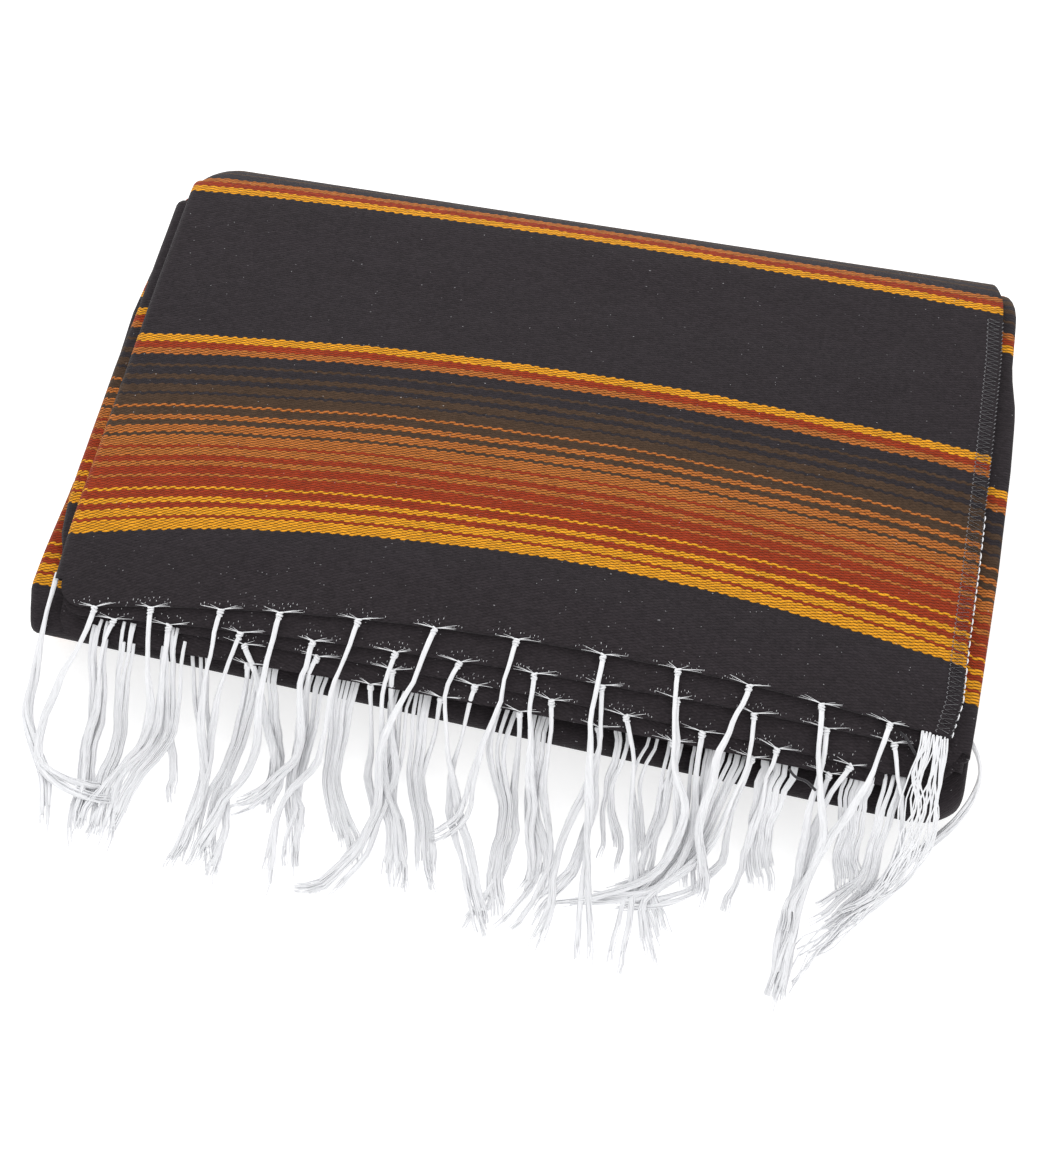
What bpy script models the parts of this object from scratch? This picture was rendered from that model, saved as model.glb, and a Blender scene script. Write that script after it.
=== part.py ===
"""Folded serape blanket, lying flat with its fringed ends at the front.

The blanket is folded in quarters across its width and in eighths along its length.
The main fold is at the back (+Y), and the knotted fringe spills forward (-Y) onto the floor.
Metres, +Z up.  The origin is on the floor, under the middle of the whole outline.
"""

import math

import bmesh
import bpy

# Cloth
PLY = 0.0016                 # thickness of one ply
GAP = 0.0003                 # space kept between pieces that touch
PITCH = 0.0021               # from one ply to the next, which also clears them on a slope
CHORD_ROOM = 0.0004          # what flat facets cut off a rounded surface
LIP_RADIUS = 0.004           # where a folded side edge turns down
LIP_TAIL = 0.0015            # straight end of that turned edge

# Folded stack; depths run back from the line where the front folds lie
FOLD_RADIUS = 0.030          # outer radius of the main back fold
BACK_CENTRE = 0.2137         # depth of that fold's centre line, at the middle
BACK_SKEW = 0.046            # how much further back the fold lies per metre to the right
HALF_SPAN = 0.205            # half the width of the lower stack
TOP_HALF = 0.187             # half the width of the top ply
BASE_HALF = 0.200            # half the width of the underside

# Top surface: puffed in the middle, lower at both sides and at the fringed edge
CROWN_RISE = 0.006           # middle above the back fold
CROWN_DROP = 0.012           # sides below the middle
CROWN_LENGTH = 0.200         # depth over which the crown fades out to the back
DROOP_START = 0.045          # depth where the fringed edge starts to sink
DROOP_END = -0.012
DROOP_DEPTH = 0.012

# Front folds, as radius, depth of the centre and height of the centre
LOW_FOLD_RADIUS = 0.01025
LOW_FOLD_DEPTH = 0.010
LOW_FOLD_HEIGHT = LOW_FOLD_RADIUS
FRONT_FOLD_RADIUS = 0.007
FRONT_FOLD_DEPTH = -0.0042
FRONT_FOLD_HEIGHT = 0.028
LEG_END = 0.060              # depth where the hidden legs of the front folds stop
FRONT_FOLD_SIDE = 0.001      # the front fold stops this far inside the stack on its right

# Each inner ply: place in the pile, left and right reach, then its fringed edge as depth
# at the middle, slope per metre to the right and bow of the middle, and its corner radius
PLY_COLUMNS = ("name", "place", "left", "right", "edge", "slope", "bow", "corner",
               "lip_left", "lip_right")
PLY_ROWS = (
    ("second_ply", 1, 0.1855, 0.1885, 0.0030, 0.053, 0.0015, 0.010, False, False),
    ("third_ply", 2, 0.1855, 0.1990, -0.0030, 0.020, 0.0000, 0.010, False, True),
    ("fourth_ply", 3, 0.1855, 0.1965, -0.0080, 0.028, -0.0010, 0.010, False, False),
    ("second_leaf", 4, 0.2000, 0.1960, -0.0010, 0.010, 0.0000, 0.022, True, False),
)
TOP_EDGE = 0.0065            # depth of the top ply's fringed edge, without its bow
TOP_SLOPE = 0.062
TOP_BOW = 0.0095
TOP_CORNER = 0.012

# Core of hidden layers
CORE_INSET = 5 * PITCH + CHORD_ROOM     # plies that lie over the core
CORE_HALF = 0.2010
CORE_FRONT = 0.008           # depth of its uppermost front edge
CORE_LEAVES = 4              # rounded layers that show at its sides
CORE_LAYER_DEPTH = 0.0022    # depth of the grooves between those layers
CORE_BACK_TAPER = 0.006      # its sides draw in this much towards the back fold
TONGUE_OVERLAP = 0.015       # how far the folded tongues run into the core

# Fringe: a plain draped slab for each level.  A row for each section, from the cloth to
# the tips: how far out it is and how high, as shares of the whole run and of the drop
FRINGE_REACH = 0.100
FRINGE_SHOULDER = -0.0125            # depth where the fringe starts to fall
FRINGE_LEVEL = 0.003                 # it leaves the cloth level for at least this far
LOWER_FRINGE_THICKNESS = 0.005
LOWER_FRINGE_FLOOR = 0.0025          # height of its middle where it lies on the floor
LOWER_FRINGE_CLEARANCE = 0.0009      # its end clears the ply behind it by this much
LOWER_FRINGE = (
    (0.063, 0.74),
    (0.097, 0.52),
    (0.154, 0.25),
    (0.246, 0.08),
    (0.430, 0.0),
    (1.000, 0.0),
)
UPPER_FRINGE_REACH = 0.086
UPPER_FRINGE_THICKNESS = 0.003
UPPER_FRINGE_FLOOR = 0.0072
UPPER_FRINGE_LEAD = 0.0030           # its shoulder is this far ahead of the lower one's
UPPER_FRINGE_OVER_SHARES = (0.3, 0.6, 1.0)
UPPER_FRINGE = (
    (0.163, 0.70),
    (0.231, 0.45),
    (0.306, 0.21),
    (0.415, 0.07),
    (0.565, 0.0),
    (1.000, 0.0),
)

# Mesh steps
ACROSS_STEPS = 14
CORNER_STEPS = 3
TOP_STEPS = 11
ARC_STEPS = 12
LOW_FOLD_STEPS = 7
LIP_STEPS = 3
FLAT_STEPS = 3

BACK_REACH = BACK_CENTRE + BACK_SKEW * BASE_HALF + FOLD_RADIUS
MID_DEPTH = (BACK_REACH - FRINGE_REACH) / 2

DARK = (0.045, 0.040, 0.048)
GOLD = (0.730, 0.320, 0.010)
BROWN = (0.075, 0.042, 0.024)
RUST = (0.300, 0.030, 0.018)
WHITE = (0.780, 0.800, 0.850)
CLOTH_ROUGHNESS = 0.95
FRINGE_ROUGHNESS = 0.75


def clear_scene():
    """Remove what the start-up file holds."""
    for item in list(bpy.data.objects):
        bpy.data.objects.remove(item, do_unlink=True)


def cloth_material(name, colour, roughness):
    """A plain dull material in one base colour."""
    material = bpy.data.materials.new(name)
    material.use_nodes = True
    shader = material.node_tree.nodes["Principled BSDF"]
    shader.inputs["Base Color"].default_value = (*colour, 1.0)
    shader.inputs["Roughness"].default_value = roughness
    shader.inputs["Metallic"].default_value = 0.0
    return material


def smooth(t):
    """Ease from 0 to 1."""
    t = min(max(t, 0.0), 1.0)
    return t * t * (3.0 - 2.0 * t)


def back_centre(x):
    """Depth of the back fold's centre line."""
    return BACK_CENTRE + BACK_SKEW * x


def top_height(x, depth):
    """Height of the uppermost surface."""
    fade = smooth((back_centre(x) - depth) / CROWN_LENGTH)
    crown = CROWN_RISE - CROWN_DROP * (x / TOP_HALF) ** 2
    sink = max(0.0, (DROOP_START - depth) / (DROOP_START - DROOP_END))
    return 2 * FOLD_RADIUS + fade * crown - DROOP_DEPTH * sink * sink


def fringed_edge(x, edge, slope, bow, corner, left):
    """Depth of a ply's fringed edge, with its front-left corner rounded."""
    depth = edge + slope * x + bow * (1.0 - (x / TOP_HALF) ** 2)
    inside = x + left - corner
    if inside < 0.0:
        depth += corner - math.sqrt(max(corner ** 2 - inside ** 2, 0.0))
    return depth


def across(left, right, corner):
    """Places across the width, closer together in the rounded left corner."""
    rounded = [
        -left + corner * (1.0 - math.cos(math.pi / 2 * i / CORNER_STEPS))
        for i in range(CORNER_STEPS)
    ]
    start = -left + corner
    plain = [start + (right - start) * i / ACROSS_STEPS for i in range(ACROSS_STEPS + 1)]
    return rounded + plain


def steps(start, end, count):
    """Values from start to end, both included."""
    return [start + (end - start) * i / count for i in range(count + 1)]


def depths(front, centre):
    """Depths from a fringed edge to the back fold, closer together at the front."""
    return [front + (centre - front) * (i / TOP_STEPS) ** 2 for i in range(TOP_STEPS + 1)]


def place(x, depth, height):
    """A point in the part's own frame."""
    return (x, depth - MID_DEPTH, height)


def lip(point, side, turned=True):
    """Points of a side edge, from its free end to its ridge, turned down or left flat."""
    x, depth, height = point
    if turned:
        offsets = [(LIP_RADIUS, LIP_RADIUS + LIP_TAIL)]
        for i in range(LIP_STEPS, 0, -1):
            angle = math.pi / 2 * i / LIP_STEPS
            offsets.append((LIP_RADIUS * math.sin(angle),
                            LIP_RADIUS * (1.0 - math.cos(angle))))
    else:
        offsets = [(LIP_RADIUS + LIP_TAIL, 0.0)]
        offsets += [(LIP_RADIUS * i / LIP_STEPS, 0.0) for i in range(LIP_STEPS, 0, -1)]
    return [
        (x + side * out, depth, height - down)
        for out, down in offsets
    ]


def grid_object(name, rows, thickness, offset, collection, material):
    """A sheet through rows of points, given its thickness by Solidify."""
    mesh = bpy.data.meshes.new(name)
    builder = bmesh.new()
    grid = [[builder.verts.new(place(*point)) for point in row] for row in rows]
    for near, far in zip(grid, grid[1:]):
        for j in range(len(near) - 1):
            builder.faces.new((near[j], near[j + 1], far[j + 1], far[j]))
    builder.to_mesh(mesh)
    builder.free()
    sheet = bpy.data.objects.new(name, mesh)
    collection.objects.link(sheet)
    sheet.data.materials.append(material)
    wall = sheet.modifiers.new("wall", "SOLIDIFY")
    wall.thickness = thickness
    wall.offset = offset
    wall.use_even_offset = True
    return sheet


def outer_path(x):
    """The top ply's way round the stack, as depth and height."""
    front = fringed_edge(x, TOP_EDGE, TOP_SLOPE, TOP_BOW, TOP_CORNER, TOP_HALF)
    centre = back_centre(x)
    path = [(depth, top_height(x, depth)) for depth in depths(front, centre)[:-1]]
    for angle in steps(0.0, math.pi, ARC_STEPS):
        path.append((centre + FOLD_RADIUS * math.sin(angle),
                     FOLD_RADIUS * (1.0 + math.cos(angle))))
    for i in range(1, FLAT_STEPS):
        depth = centre + (LOW_FOLD_DEPTH - centre) * i / FLAT_STEPS
        path.append((depth, 0.0))
    for angle in steps(0.0, math.pi, LOW_FOLD_STEPS):
        path.append((LOW_FOLD_DEPTH - LOW_FOLD_RADIUS * math.sin(angle),
                     LOW_FOLD_HEIGHT - LOW_FOLD_RADIUS * math.cos(angle)))
    path.append((LEG_END, LOW_FOLD_HEIGHT + LOW_FOLD_RADIUS))
    return path


def widening(index):
    """Half width of the top ply at a step of its path: narrow on top, wide below."""
    turned = (index - TOP_STEPS) / ARC_STEPS
    return TOP_HALF + (BASE_HALF - TOP_HALF) * smooth(turned)


def build_outer_ply(collection, material):
    """Top ply, back fold, underside and lower front fold in one length of cloth."""
    columns = across(TOP_HALF, TOP_HALF, TOP_CORNER)
    rows = []
    for i in range(len(outer_path(0.0))):
        reached = [x * widening(i) / TOP_HALF for x in columns]
        row = [(x, *outer_path(x)[i]) for x in reached]
        rows.append(lip(row[0], -1, turned=i < TOP_STEPS) + row)
    return grid_object("outer_ply", rows, PLY, -1.0, collection, material)


def build_inner_ply(spec, collection, material):
    """A ply that shows at the front edge and at one side, under the top ply."""
    columns = across(spec["left"], spec["right"], spec["corner"])
    sunk = spec["place"] * PITCH
    rows = []
    for i in range(TOP_STEPS + 1):
        row = []
        for x in columns:
            front = fringed_edge(x, spec["edge"], spec["slope"], spec["bow"],
                                 spec["corner"], spec["left"])
            depth = depths(front, back_centre(x))[i]
            row.append((x, depth, top_height(x, depth) - sunk))
        if spec["lip_left"]:
            row = lip(row[0], -1) + row
        if spec["lip_right"]:
            row = row + lip(row[-1], 1)[::-1]
        rows.append(row)
    return grid_object(spec["name"], rows, PLY, -1.0, collection, material)


def build_front_fold(collection, material):
    """The middle of the blanket, folded round the front of the stack."""
    path = [(LEG_END, FRONT_FOLD_HEIGHT + FRONT_FOLD_RADIUS)]
    for angle in steps(0.0, math.pi, LOW_FOLD_STEPS):
        path.append((FRONT_FOLD_DEPTH - FRONT_FOLD_RADIUS * math.sin(angle),
                     FRONT_FOLD_HEIGHT + FRONT_FOLD_RADIUS * math.cos(angle)))
    path.append((LEG_END, FRONT_FOLD_HEIGHT - FRONT_FOLD_RADIUS))
    columns = steps(-HALF_SPAN, HALF_SPAN - FRONT_FOLD_SIDE, ACROSS_STEPS)
    rows = [[(x, depth, height) for x in columns] for depth, height in path]
    rows.reverse()
    return grid_object("front_fold", rows, PLY, -1.0, collection, material)


def skewed(x, depth):
    """Depth of a core point: square to the front folds, then turning with the back fold."""
    turned = smooth((depth - LEG_END) / (BACK_CENTRE - LEG_END))
    return depth + BACK_SKEW * x * turned


def core_side(low, high, reach, side):
    """Points up one side of the core, rounded layer by layer."""
    points = []
    for i in range(2 * CORE_LEAVES + 1):
        share = i / (2 * CORE_LEAVES)
        height = low + (high - low) * share
        groove = 0.0 if i % 2 else CORE_LAYER_DEPTH
        points.append((side * (reach - groove), height))
    return points if side > 0 else points[::-1]


def core_section(depth, low, high_at, reach):
    """One closed section across the core, anticlockwise seen from the front."""
    right = core_side(low, high_at(reach), reach, 1)
    left = core_side(low, high_at(-reach), reach, -1)
    top = [
        (x, high_at(x))
        for x in steps(reach - CORE_LAYER_DEPTH, -reach + CORE_LAYER_DEPTH, ACROSS_STEPS)
    ][1:-1]
    return [(x, depth, height) for x, height in right + top + left]


def core_body(collection, material):
    """The hidden layers as one body, lofted from front to back."""
    sections = []
    floor = PITCH
    shelf = FRONT_FOLD_HEIGHT + FRONT_FOLD_RADIUS + GAP
    step = 0.001

    def under_plies(depth):
        return lambda x: top_height(x, skewed(x, depth)) - CORE_INSET

    for depth in steps(CORE_FRONT, LEG_END + step, 4):
        sections.append(core_section(depth, shelf, under_plies(depth), CORE_HALF))
    ends_of_plies = BACK_CENTRE + GAP + step
    for depth in steps(LEG_END + 2 * step, BACK_CENTRE, 4):
        sections.append(core_section(depth, floor, under_plies(depth), CORE_HALF))
    radius = FOLD_RADIUS - PLY - GAP - CHORD_ROOM
    last = math.asin((ends_of_plies - BACK_CENTRE) / radius)
    for angle in steps(last, math.radians(84), 6):
        depth = BACK_CENTRE + radius * math.sin(angle)
        rise = radius * math.cos(angle)
        reach = CORE_HALF - CORE_BACK_TAPER * smooth(math.sin(angle))
        high = FOLD_RADIUS + rise
        sections.append(core_section(depth, FOLD_RADIUS - rise, lambda x, z=high: z, reach))

    mesh = bpy.data.meshes.new("folded_core")
    builder = bmesh.new()
    rings = []
    for section in sections:
        ring = []
        for x, depth, height in section:
            ring.append(builder.verts.new(place(x, skewed(x, depth), height)))
        rings.append(ring)
    count = len(rings[0])
    for near, far in zip(rings, rings[1:]):
        for j in range(count):
            k = (j + 1) % count
            builder.faces.new((near[j], near[k], far[k], far[j]))
    builder.faces.new(rings[0][::-1])
    builder.faces.new(rings[-1])
    bmesh.ops.recalc_face_normals(builder, faces=builder.faces)
    builder.to_mesh(mesh)
    builder.free()
    core = bpy.data.objects.new("folded_core", mesh)
    collection.objects.link(core)
    core.data.materials.append(material)
    return core


def tongue(name, centre_depth, centre_height, radius, reach, cutters):
    """A rounded slab that fills one front fold and runs into the core."""
    outline = [
        (centre_depth - radius * math.sin(angle), centre_height - radius * math.cos(angle))
        for angle in steps(0.0, math.pi, LOW_FOLD_STEPS)
    ]
    far = LEG_END + TONGUE_OVERLAP
    outline += [(far, centre_height + radius), (far, centre_height - radius)]
    mesh = bpy.data.meshes.new(name)
    builder = bmesh.new()
    face = builder.faces.new([builder.verts.new(place(-reach, *point)) for point in outline])
    grown = bmesh.ops.extrude_face_region(builder, geom=[face])
    moved = [item for item in grown["geom"] if isinstance(item, bmesh.types.BMVert)]
    bmesh.ops.translate(builder, verts=moved, vec=(2 * reach, 0.0, 0.0))
    bmesh.ops.recalc_face_normals(builder, faces=builder.faces)
    builder.to_mesh(mesh)
    builder.free()
    slab = bpy.data.objects.new(name, mesh)
    cutters.objects.link(slab)
    slab.hide_render = True
    slab.display_type = "WIRE"
    return slab


def build_core(collection, cutters, material):
    """The core with the layers that fill its two front folds."""
    core = core_body(collection, material)
    wall = PLY + GAP
    slabs = (
        tongue("low_tongue", LOW_FOLD_DEPTH, LOW_FOLD_HEIGHT, LOW_FOLD_RADIUS - wall,
               BASE_HALF, cutters),
        tongue("front_tongue", FRONT_FOLD_DEPTH, FRONT_FOLD_HEIGHT,
               FRONT_FOLD_RADIUS - wall, CORE_HALF - CORE_LAYER_DEPTH, cutters),
    )
    for slab in slabs:
        join = core.modifiers.new(slab.name, "BOOLEAN")
        join.operation = "UNION"
        join.solver = "EXACT"
        join.object = slab
    return core


def draped_rows(start, table, reach, floor):
    """Rows of points that fall from a start row to the floor and out along it."""
    rows = []
    for out, up in table:
        rows.append([
            (x, depth - out * (reach + depth), floor + up * (height - floor))
            for x, depth, height in start
        ])
    return rows


def lower_fringe_start(x):
    """Where the lower fringe leaves the cloth: under the plies, clear of the front fold."""
    spec = dict(zip(PLY_COLUMNS, PLY_ROWS[2]))
    depth = fringed_edge(x, spec["edge"], spec["slope"], spec["bow"], 0.0, HALF_SPAN)
    underside = top_height(x, depth) - spec["place"] * PITCH - PLY - GAP
    fold_top = FRONT_FOLD_HEIGHT + FRONT_FOLD_RADIUS
    height = max(underside, fold_top + LOWER_FRINGE_THICKNESS / 2 + 2 * GAP)
    return x, depth - LOWER_FRINGE_CLEARANCE, height


def lower_fringe_shoulder(x):
    """Where the lower fringe starts to fall."""
    _, depth, height = lower_fringe_start(x)
    return x, min(depth - FRINGE_LEVEL, FRINGE_SHOULDER), height


def build_lower_fringe(collection, material):
    """The reach of the fringe of the lower plies: over the front fold and out on the floor."""
    columns = steps(-HALF_SPAN, HALF_SPAN, ACROSS_STEPS)
    shoulder = [lower_fringe_shoulder(x) for x in columns]
    rows = [[lower_fringe_start(x) for x in columns], shoulder]
    rows += draped_rows(shoulder, LOWER_FRINGE, FRINGE_REACH, LOWER_FRINGE_FLOOR)
    return grid_object("lower_fringe", rows[::-1], LOWER_FRINGE_THICKNESS, 0.0,
                       collection, material)


def build_upper_fringe(collection, material):
    """The reach of the top ply's fringe, lying over the plies and the lower fringe."""
    lift = UPPER_FRINGE_THICKNESS / 2 - PLY
    clear = (UPPER_FRINGE_THICKNESS + LOWER_FRINGE_THICKNESS) / 2 + 2 * GAP
    start = []
    for x in steps(-TOP_HALF + TOP_CORNER, TOP_HALF, ACROSS_STEPS):
        depth = fringed_edge(x, TOP_EDGE, TOP_SLOPE, TOP_BOW, TOP_CORNER, TOP_HALF) - GAP
        start.append((x, depth, top_height(x, depth) + lift))
    rows = [start]
    for share in UPPER_FRINGE_OVER_SHARES:
        row = []
        for x, depth, _ in start:
            _, shoulder, below = lower_fringe_shoulder(x)
            forward = depth + (shoulder - UPPER_FRINGE_LEAD - depth) * share
            row.append((x, forward, max(top_height(x, forward) + lift, below + clear)))
        rows.append(row)
    rows += draped_rows(rows[-1], UPPER_FRINGE, UPPER_FRINGE_REACH, UPPER_FRINGE_FLOOR)
    return grid_object("upper_fringe", rows[::-1], UPPER_FRINGE_THICKNESS, 0.0,
                       collection, material)


def main():
    clear_scene()
    scene = bpy.context.scene
    parts = bpy.data.collections.new("folded_serape_blanket")
    cutters = bpy.data.collections.new("cutters")
    scene.collection.children.link(parts)
    scene.collection.children.link(cutters)

    build_outer_ply(parts, cloth_material("striped_cloth", GOLD, CLOTH_ROUGHNESS))
    tints = (DARK, BROWN, DARK, RUST)
    for values, tint in zip(PLY_ROWS, tints):
        spec = dict(zip(PLY_COLUMNS, values))
        build_inner_ply(spec, parts, cloth_material(spec["name"] + "_cloth", tint,
                                                    CLOTH_ROUGHNESS))
    build_front_fold(parts, cloth_material("front_fold_cloth", DARK, CLOTH_ROUGHNESS))
    build_core(parts, cutters, cloth_material("inner_cloth", BROWN, CLOTH_ROUGHNESS))
    fringe = cloth_material("fringe_yarn", WHITE, FRINGE_ROUGHNESS)
    build_lower_fringe(parts, fringe)
    build_upper_fringe(parts, fringe)


main()
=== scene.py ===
"""Looks of the folded serape blanket: woven stripes, folded edges and knotted fringe.

Metres.  Depths run back from the line where the front folds lie, and world() turns them
into the part's own frame.  The stripes run across, so the cloth map holds two lengths:
how far across the cloth a point is, and how far along it from the fringed end.
"""

import functools
import math
import random
from dataclasses import dataclass

import bpy
from mathutils import Matrix, Vector, noise

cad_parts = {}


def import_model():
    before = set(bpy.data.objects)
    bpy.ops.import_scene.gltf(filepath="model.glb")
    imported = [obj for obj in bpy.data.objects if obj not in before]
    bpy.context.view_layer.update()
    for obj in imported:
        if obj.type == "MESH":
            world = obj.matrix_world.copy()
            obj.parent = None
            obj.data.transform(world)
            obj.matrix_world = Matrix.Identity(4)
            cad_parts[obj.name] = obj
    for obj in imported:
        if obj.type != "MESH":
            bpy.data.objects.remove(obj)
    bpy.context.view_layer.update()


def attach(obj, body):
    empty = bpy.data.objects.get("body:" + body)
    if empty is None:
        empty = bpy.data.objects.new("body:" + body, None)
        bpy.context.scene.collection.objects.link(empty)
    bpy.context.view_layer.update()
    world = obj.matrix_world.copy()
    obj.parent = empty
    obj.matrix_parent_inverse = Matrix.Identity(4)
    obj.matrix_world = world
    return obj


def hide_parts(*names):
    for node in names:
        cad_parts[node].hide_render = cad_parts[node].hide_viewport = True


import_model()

# Size of the folded stack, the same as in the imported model
PLY = 0.0016                   # thickness of the cloth
PITCH = 0.0021                 # from one ply to the next
PLY_GAP = 0.0002
FOLD_RADIUS = 0.030            # outermost fold at the back
BACK_CENTRE = 0.2137           # depth of that fold's centre at the middle
BACK_SKEW = 0.046              # and how much deeper it lies per metre to the right
BASE_HALF = 0.200              # half width at the floor and at the top
TOP_HALF = 0.187
FRINGE_REACH = 0.100
BACK_REACH = BACK_CENTRE + BACK_SKEW * BASE_HALF + FOLD_RADIUS
MID_DEPTH = (BACK_REACH - FRINGE_REACH) / 2

# The top is highest along its middle, lower at the sides, and droops towards the front
CROWN_RISE = 0.006
CROWN_DROP = 0.012
CROWN_LENGTH = 0.200
DROOP_START = 0.045
DROOP_END = -0.012
DROOP_DEPTH = 0.012

# Folds at the front: the low one of the outermost ply, and the one above it
LOW_FOLD_RADIUS = 0.01025
LOW_FOLD_DEPTH = 0.010
FRONT_FOLD_RADIUS = 0.007
FRONT_FOLD_DEPTH = -0.0042
FRONT_FOLD_HEIGHT = 0.028
LEG_END = 0.060                # the front folds' legs go this deep into the stack

# Fringed edge of each ply: depth at the middle, slope per metre, bow, left corner radius
EDGES = (
    (0.0065, 0.062, 0.0095, 0.012),
    (0.0030, 0.053, 0.0015, 0.010),
    (-0.0030, 0.020, 0.0000, 0.010),
    (-0.0080, 0.028, -0.0010, 0.010),
    (-0.0010, 0.010, 0.0000, 0.022),
)

# Outline as the cloth lies: the top ply's right edge by depth, and the rounded corners
TOP_RIGHT = ((0.020, 0.1905), (0.034, 0.1925), (0.060, 0.1915), (0.097, 0.1908),
             (0.150, 0.1890), (0.200, 0.1868), (0.232, 0.1840), (0.252, 0.1790))
BACK_BULGE = 0.0026
BACK_CORNER = 0.016
RIGHT_CORNER = 0.024
RIGHT_CORNER_FADE = 0.045      # the rounding fades out over this depth
RIGHT_EXTENT = 0.2055
LEFT_CORNER = 0.008
LEFT_CORNER_START = 0.0099
LEFT_CORNER_FADE = 0.018
LEFT_EXTENT = 0.2045
INNER_LEFT = 0.1855            # left edges of the plies under the top one
SECOND_PLY_RIGHT = 0.1885

# Stripes: one dark band and one run of colours, then the same mirrored
PICK = 0.00133                 # length of cloth that one pair of weft threads covers
WARP = 0.0021                  # half the width over which the weft floats repeat
DARK_PICKS = 58
RUN_PICKS = 76
REPEAT = (DARK_PICKS + RUN_PICKS) * PICK
BLANKET_LENGTH = 12 * REPEAT

GOLD = (0.708, 0.300, 0.014)
RED = (0.276, 0.034, 0.009)
ORANGE = (0.420, 0.132, 0.026)
BROWN = (0.0585, 0.0345, 0.0208)
DARK = (0.0258, 0.0212, 0.0240)
YARN = (0.87, 0.875, 0.895)
SPECK = (0.60, 0.60, 0.62)     # a warp end that shows in the cloth
THREAD = (0.24, 0.235, 0.25)
DARK_WEFT = (0.022, 0.020, 0.024)


def world(x, depth, height):
    """A point in the part's own frame."""
    return Vector((x, depth - MID_DEPTH, height))


def smooth(t):
    """Ease from 0 to 1."""
    t = min(max(t, 0.0), 1.0)
    return t * t * (3.0 - 2.0 * t)


def steps(start, end, count):
    """Values from start to end, both included."""
    return [start + (end - start) * i / count for i in range(count + 1)]


def mix(a, b, t):
    """A value t of the way from a to b."""
    return a + (b - a) * t


def table_value(table, t):
    """Value of a table of pairs at t."""
    if t <= table[0][0]:
        return table[0][1]
    for (t0, a), (t1, b) in zip(table, table[1:]):
        if t <= t1:
            return mix(a, b, (t - t0) / (t1 - t0))
    return table[-1][1]


# Shape of the stack

CREASES = (
    # x, depth, half length across, half width along, turn in degrees, height
    (-0.070, 0.190, 0.050, 0.010, 8, 0.0009),
    (0.020, 0.196, 0.045, 0.009, -4, -0.0008),
    (-0.120, 0.120, 0.045, 0.016, 14, 0.0007),
    (0.085, 0.135, 0.060, 0.018, -7, -0.0006),
    (0.130, 0.070, 0.040, 0.014, 9, 0.0007),
    (-0.060, 0.060, 0.050, 0.016, -6, -0.0006),
    (0.150, 0.180, 0.035, 0.012, 5, 0.0008),
)


def back_centre(x):
    """Depth of the back fold's centre line."""
    return BACK_CENTRE + BACK_SKEW * x


def rounded(past, radius):
    """How far a rounded corner draws back, this far past the start of its curve."""
    past = min(max(past, 0.0), radius)
    return radius - math.sqrt(radius ** 2 - past ** 2)


def corner_back(x, depth):
    """How far the front folds are drawn back at the two front corners."""
    right = rounded(x - RIGHT_EXTENT + RIGHT_CORNER, RIGHT_CORNER)
    left = rounded(-x - LEFT_EXTENT + LEFT_CORNER, LEFT_CORNER)
    return (right * smooth(1.0 - depth / RIGHT_CORNER_FADE)
            + left * smooth((LEFT_CORNER_START - depth) / LEFT_CORNER_FADE))


def back_reach_at(x):
    """Depth of the back fold beyond its centre line: rounded at the left end."""
    return FOLD_RADIUS + BACK_BULGE - rounded(-x - TOP_HALF + BACK_CORNER - 0.002, BACK_CORNER)


def ripple(x, depth):
    """Soft unevenness of the top surface, with its few listed creases."""
    height = 0.0005 * noise.noise(Vector((x * 22, depth * 30, 0.3)))
    height += 0.0003 * noise.noise(Vector((x * 60, depth * 70, 4.1)))
    for cx, cd, half_length, half_width, turn, rise in CREASES:
        angle = math.radians(turn)
        dx = x - cx
        dd = depth - cd
        along = (dx * math.cos(angle) + dd * math.sin(angle)) / half_length
        over = (-dx * math.sin(angle) + dd * math.cos(angle)) / half_width
        height += rise * math.exp(-along * along - over * over)
    return height * smooth((back_centre(x) - depth) / 0.03)


def top_height(x, depth):
    """Height of the uppermost surface."""
    fade = smooth((back_centre(x) - depth) / CROWN_LENGTH)
    crown = CROWN_RISE - CROWN_DROP * (x / TOP_HALF) ** 2
    sink = max(0.0, (DROOP_START - depth) / (DROOP_START - DROOP_END))
    base = 2 * FOLD_RADIUS + fade * crown - DROOP_DEPTH * sink * sink
    return base + ripple(x, depth)


def edge_depth(level, x, left=TOP_HALF):
    """Depth of a ply's fringed edge, with its front-left corner rounded."""
    edge, slope, bow, corner = EDGES[level]
    depth = edge + slope * x + bow * (1.0 - (x / TOP_HALF) ** 2)
    return depth + rounded(corner - x - left, corner)


def columns_between(left, right, corner, count):
    """Places across the width, closer together near both sides."""
    places = [-left + corner * (1.0 - math.cos(math.pi / 2 * i / 6)) for i in range(6)]
    start = -left + corner
    for i in range(count + 1):
        share = i / count
        eased = share - 0.06 * math.sin(2 * math.pi * share)
        places.append(start + (right - start) * eased)
    return places


def link(name, data, material=None):
    """A new object in the scene: a mesh, a light or a camera."""
    item = bpy.data.objects.new(name, data)
    bpy.context.scene.collection.objects.link(item)
    if material:
        item.data.materials.append(material)
    return item


def mapped_mesh(name, points, faces, map_name, places):
    """A smooth mesh with a two-dimensional map, one place for each point."""
    mesh = bpy.data.meshes.new(name)
    mesh.from_pydata(points, [], faces)
    layer = mesh.uv_layers.new(name=map_name)
    for loop in mesh.loops:
        layer.data[loop.index].uv = places[loop.vertex_index]
    for face in mesh.polygons:
        face.use_smooth = True
    return mesh


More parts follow.
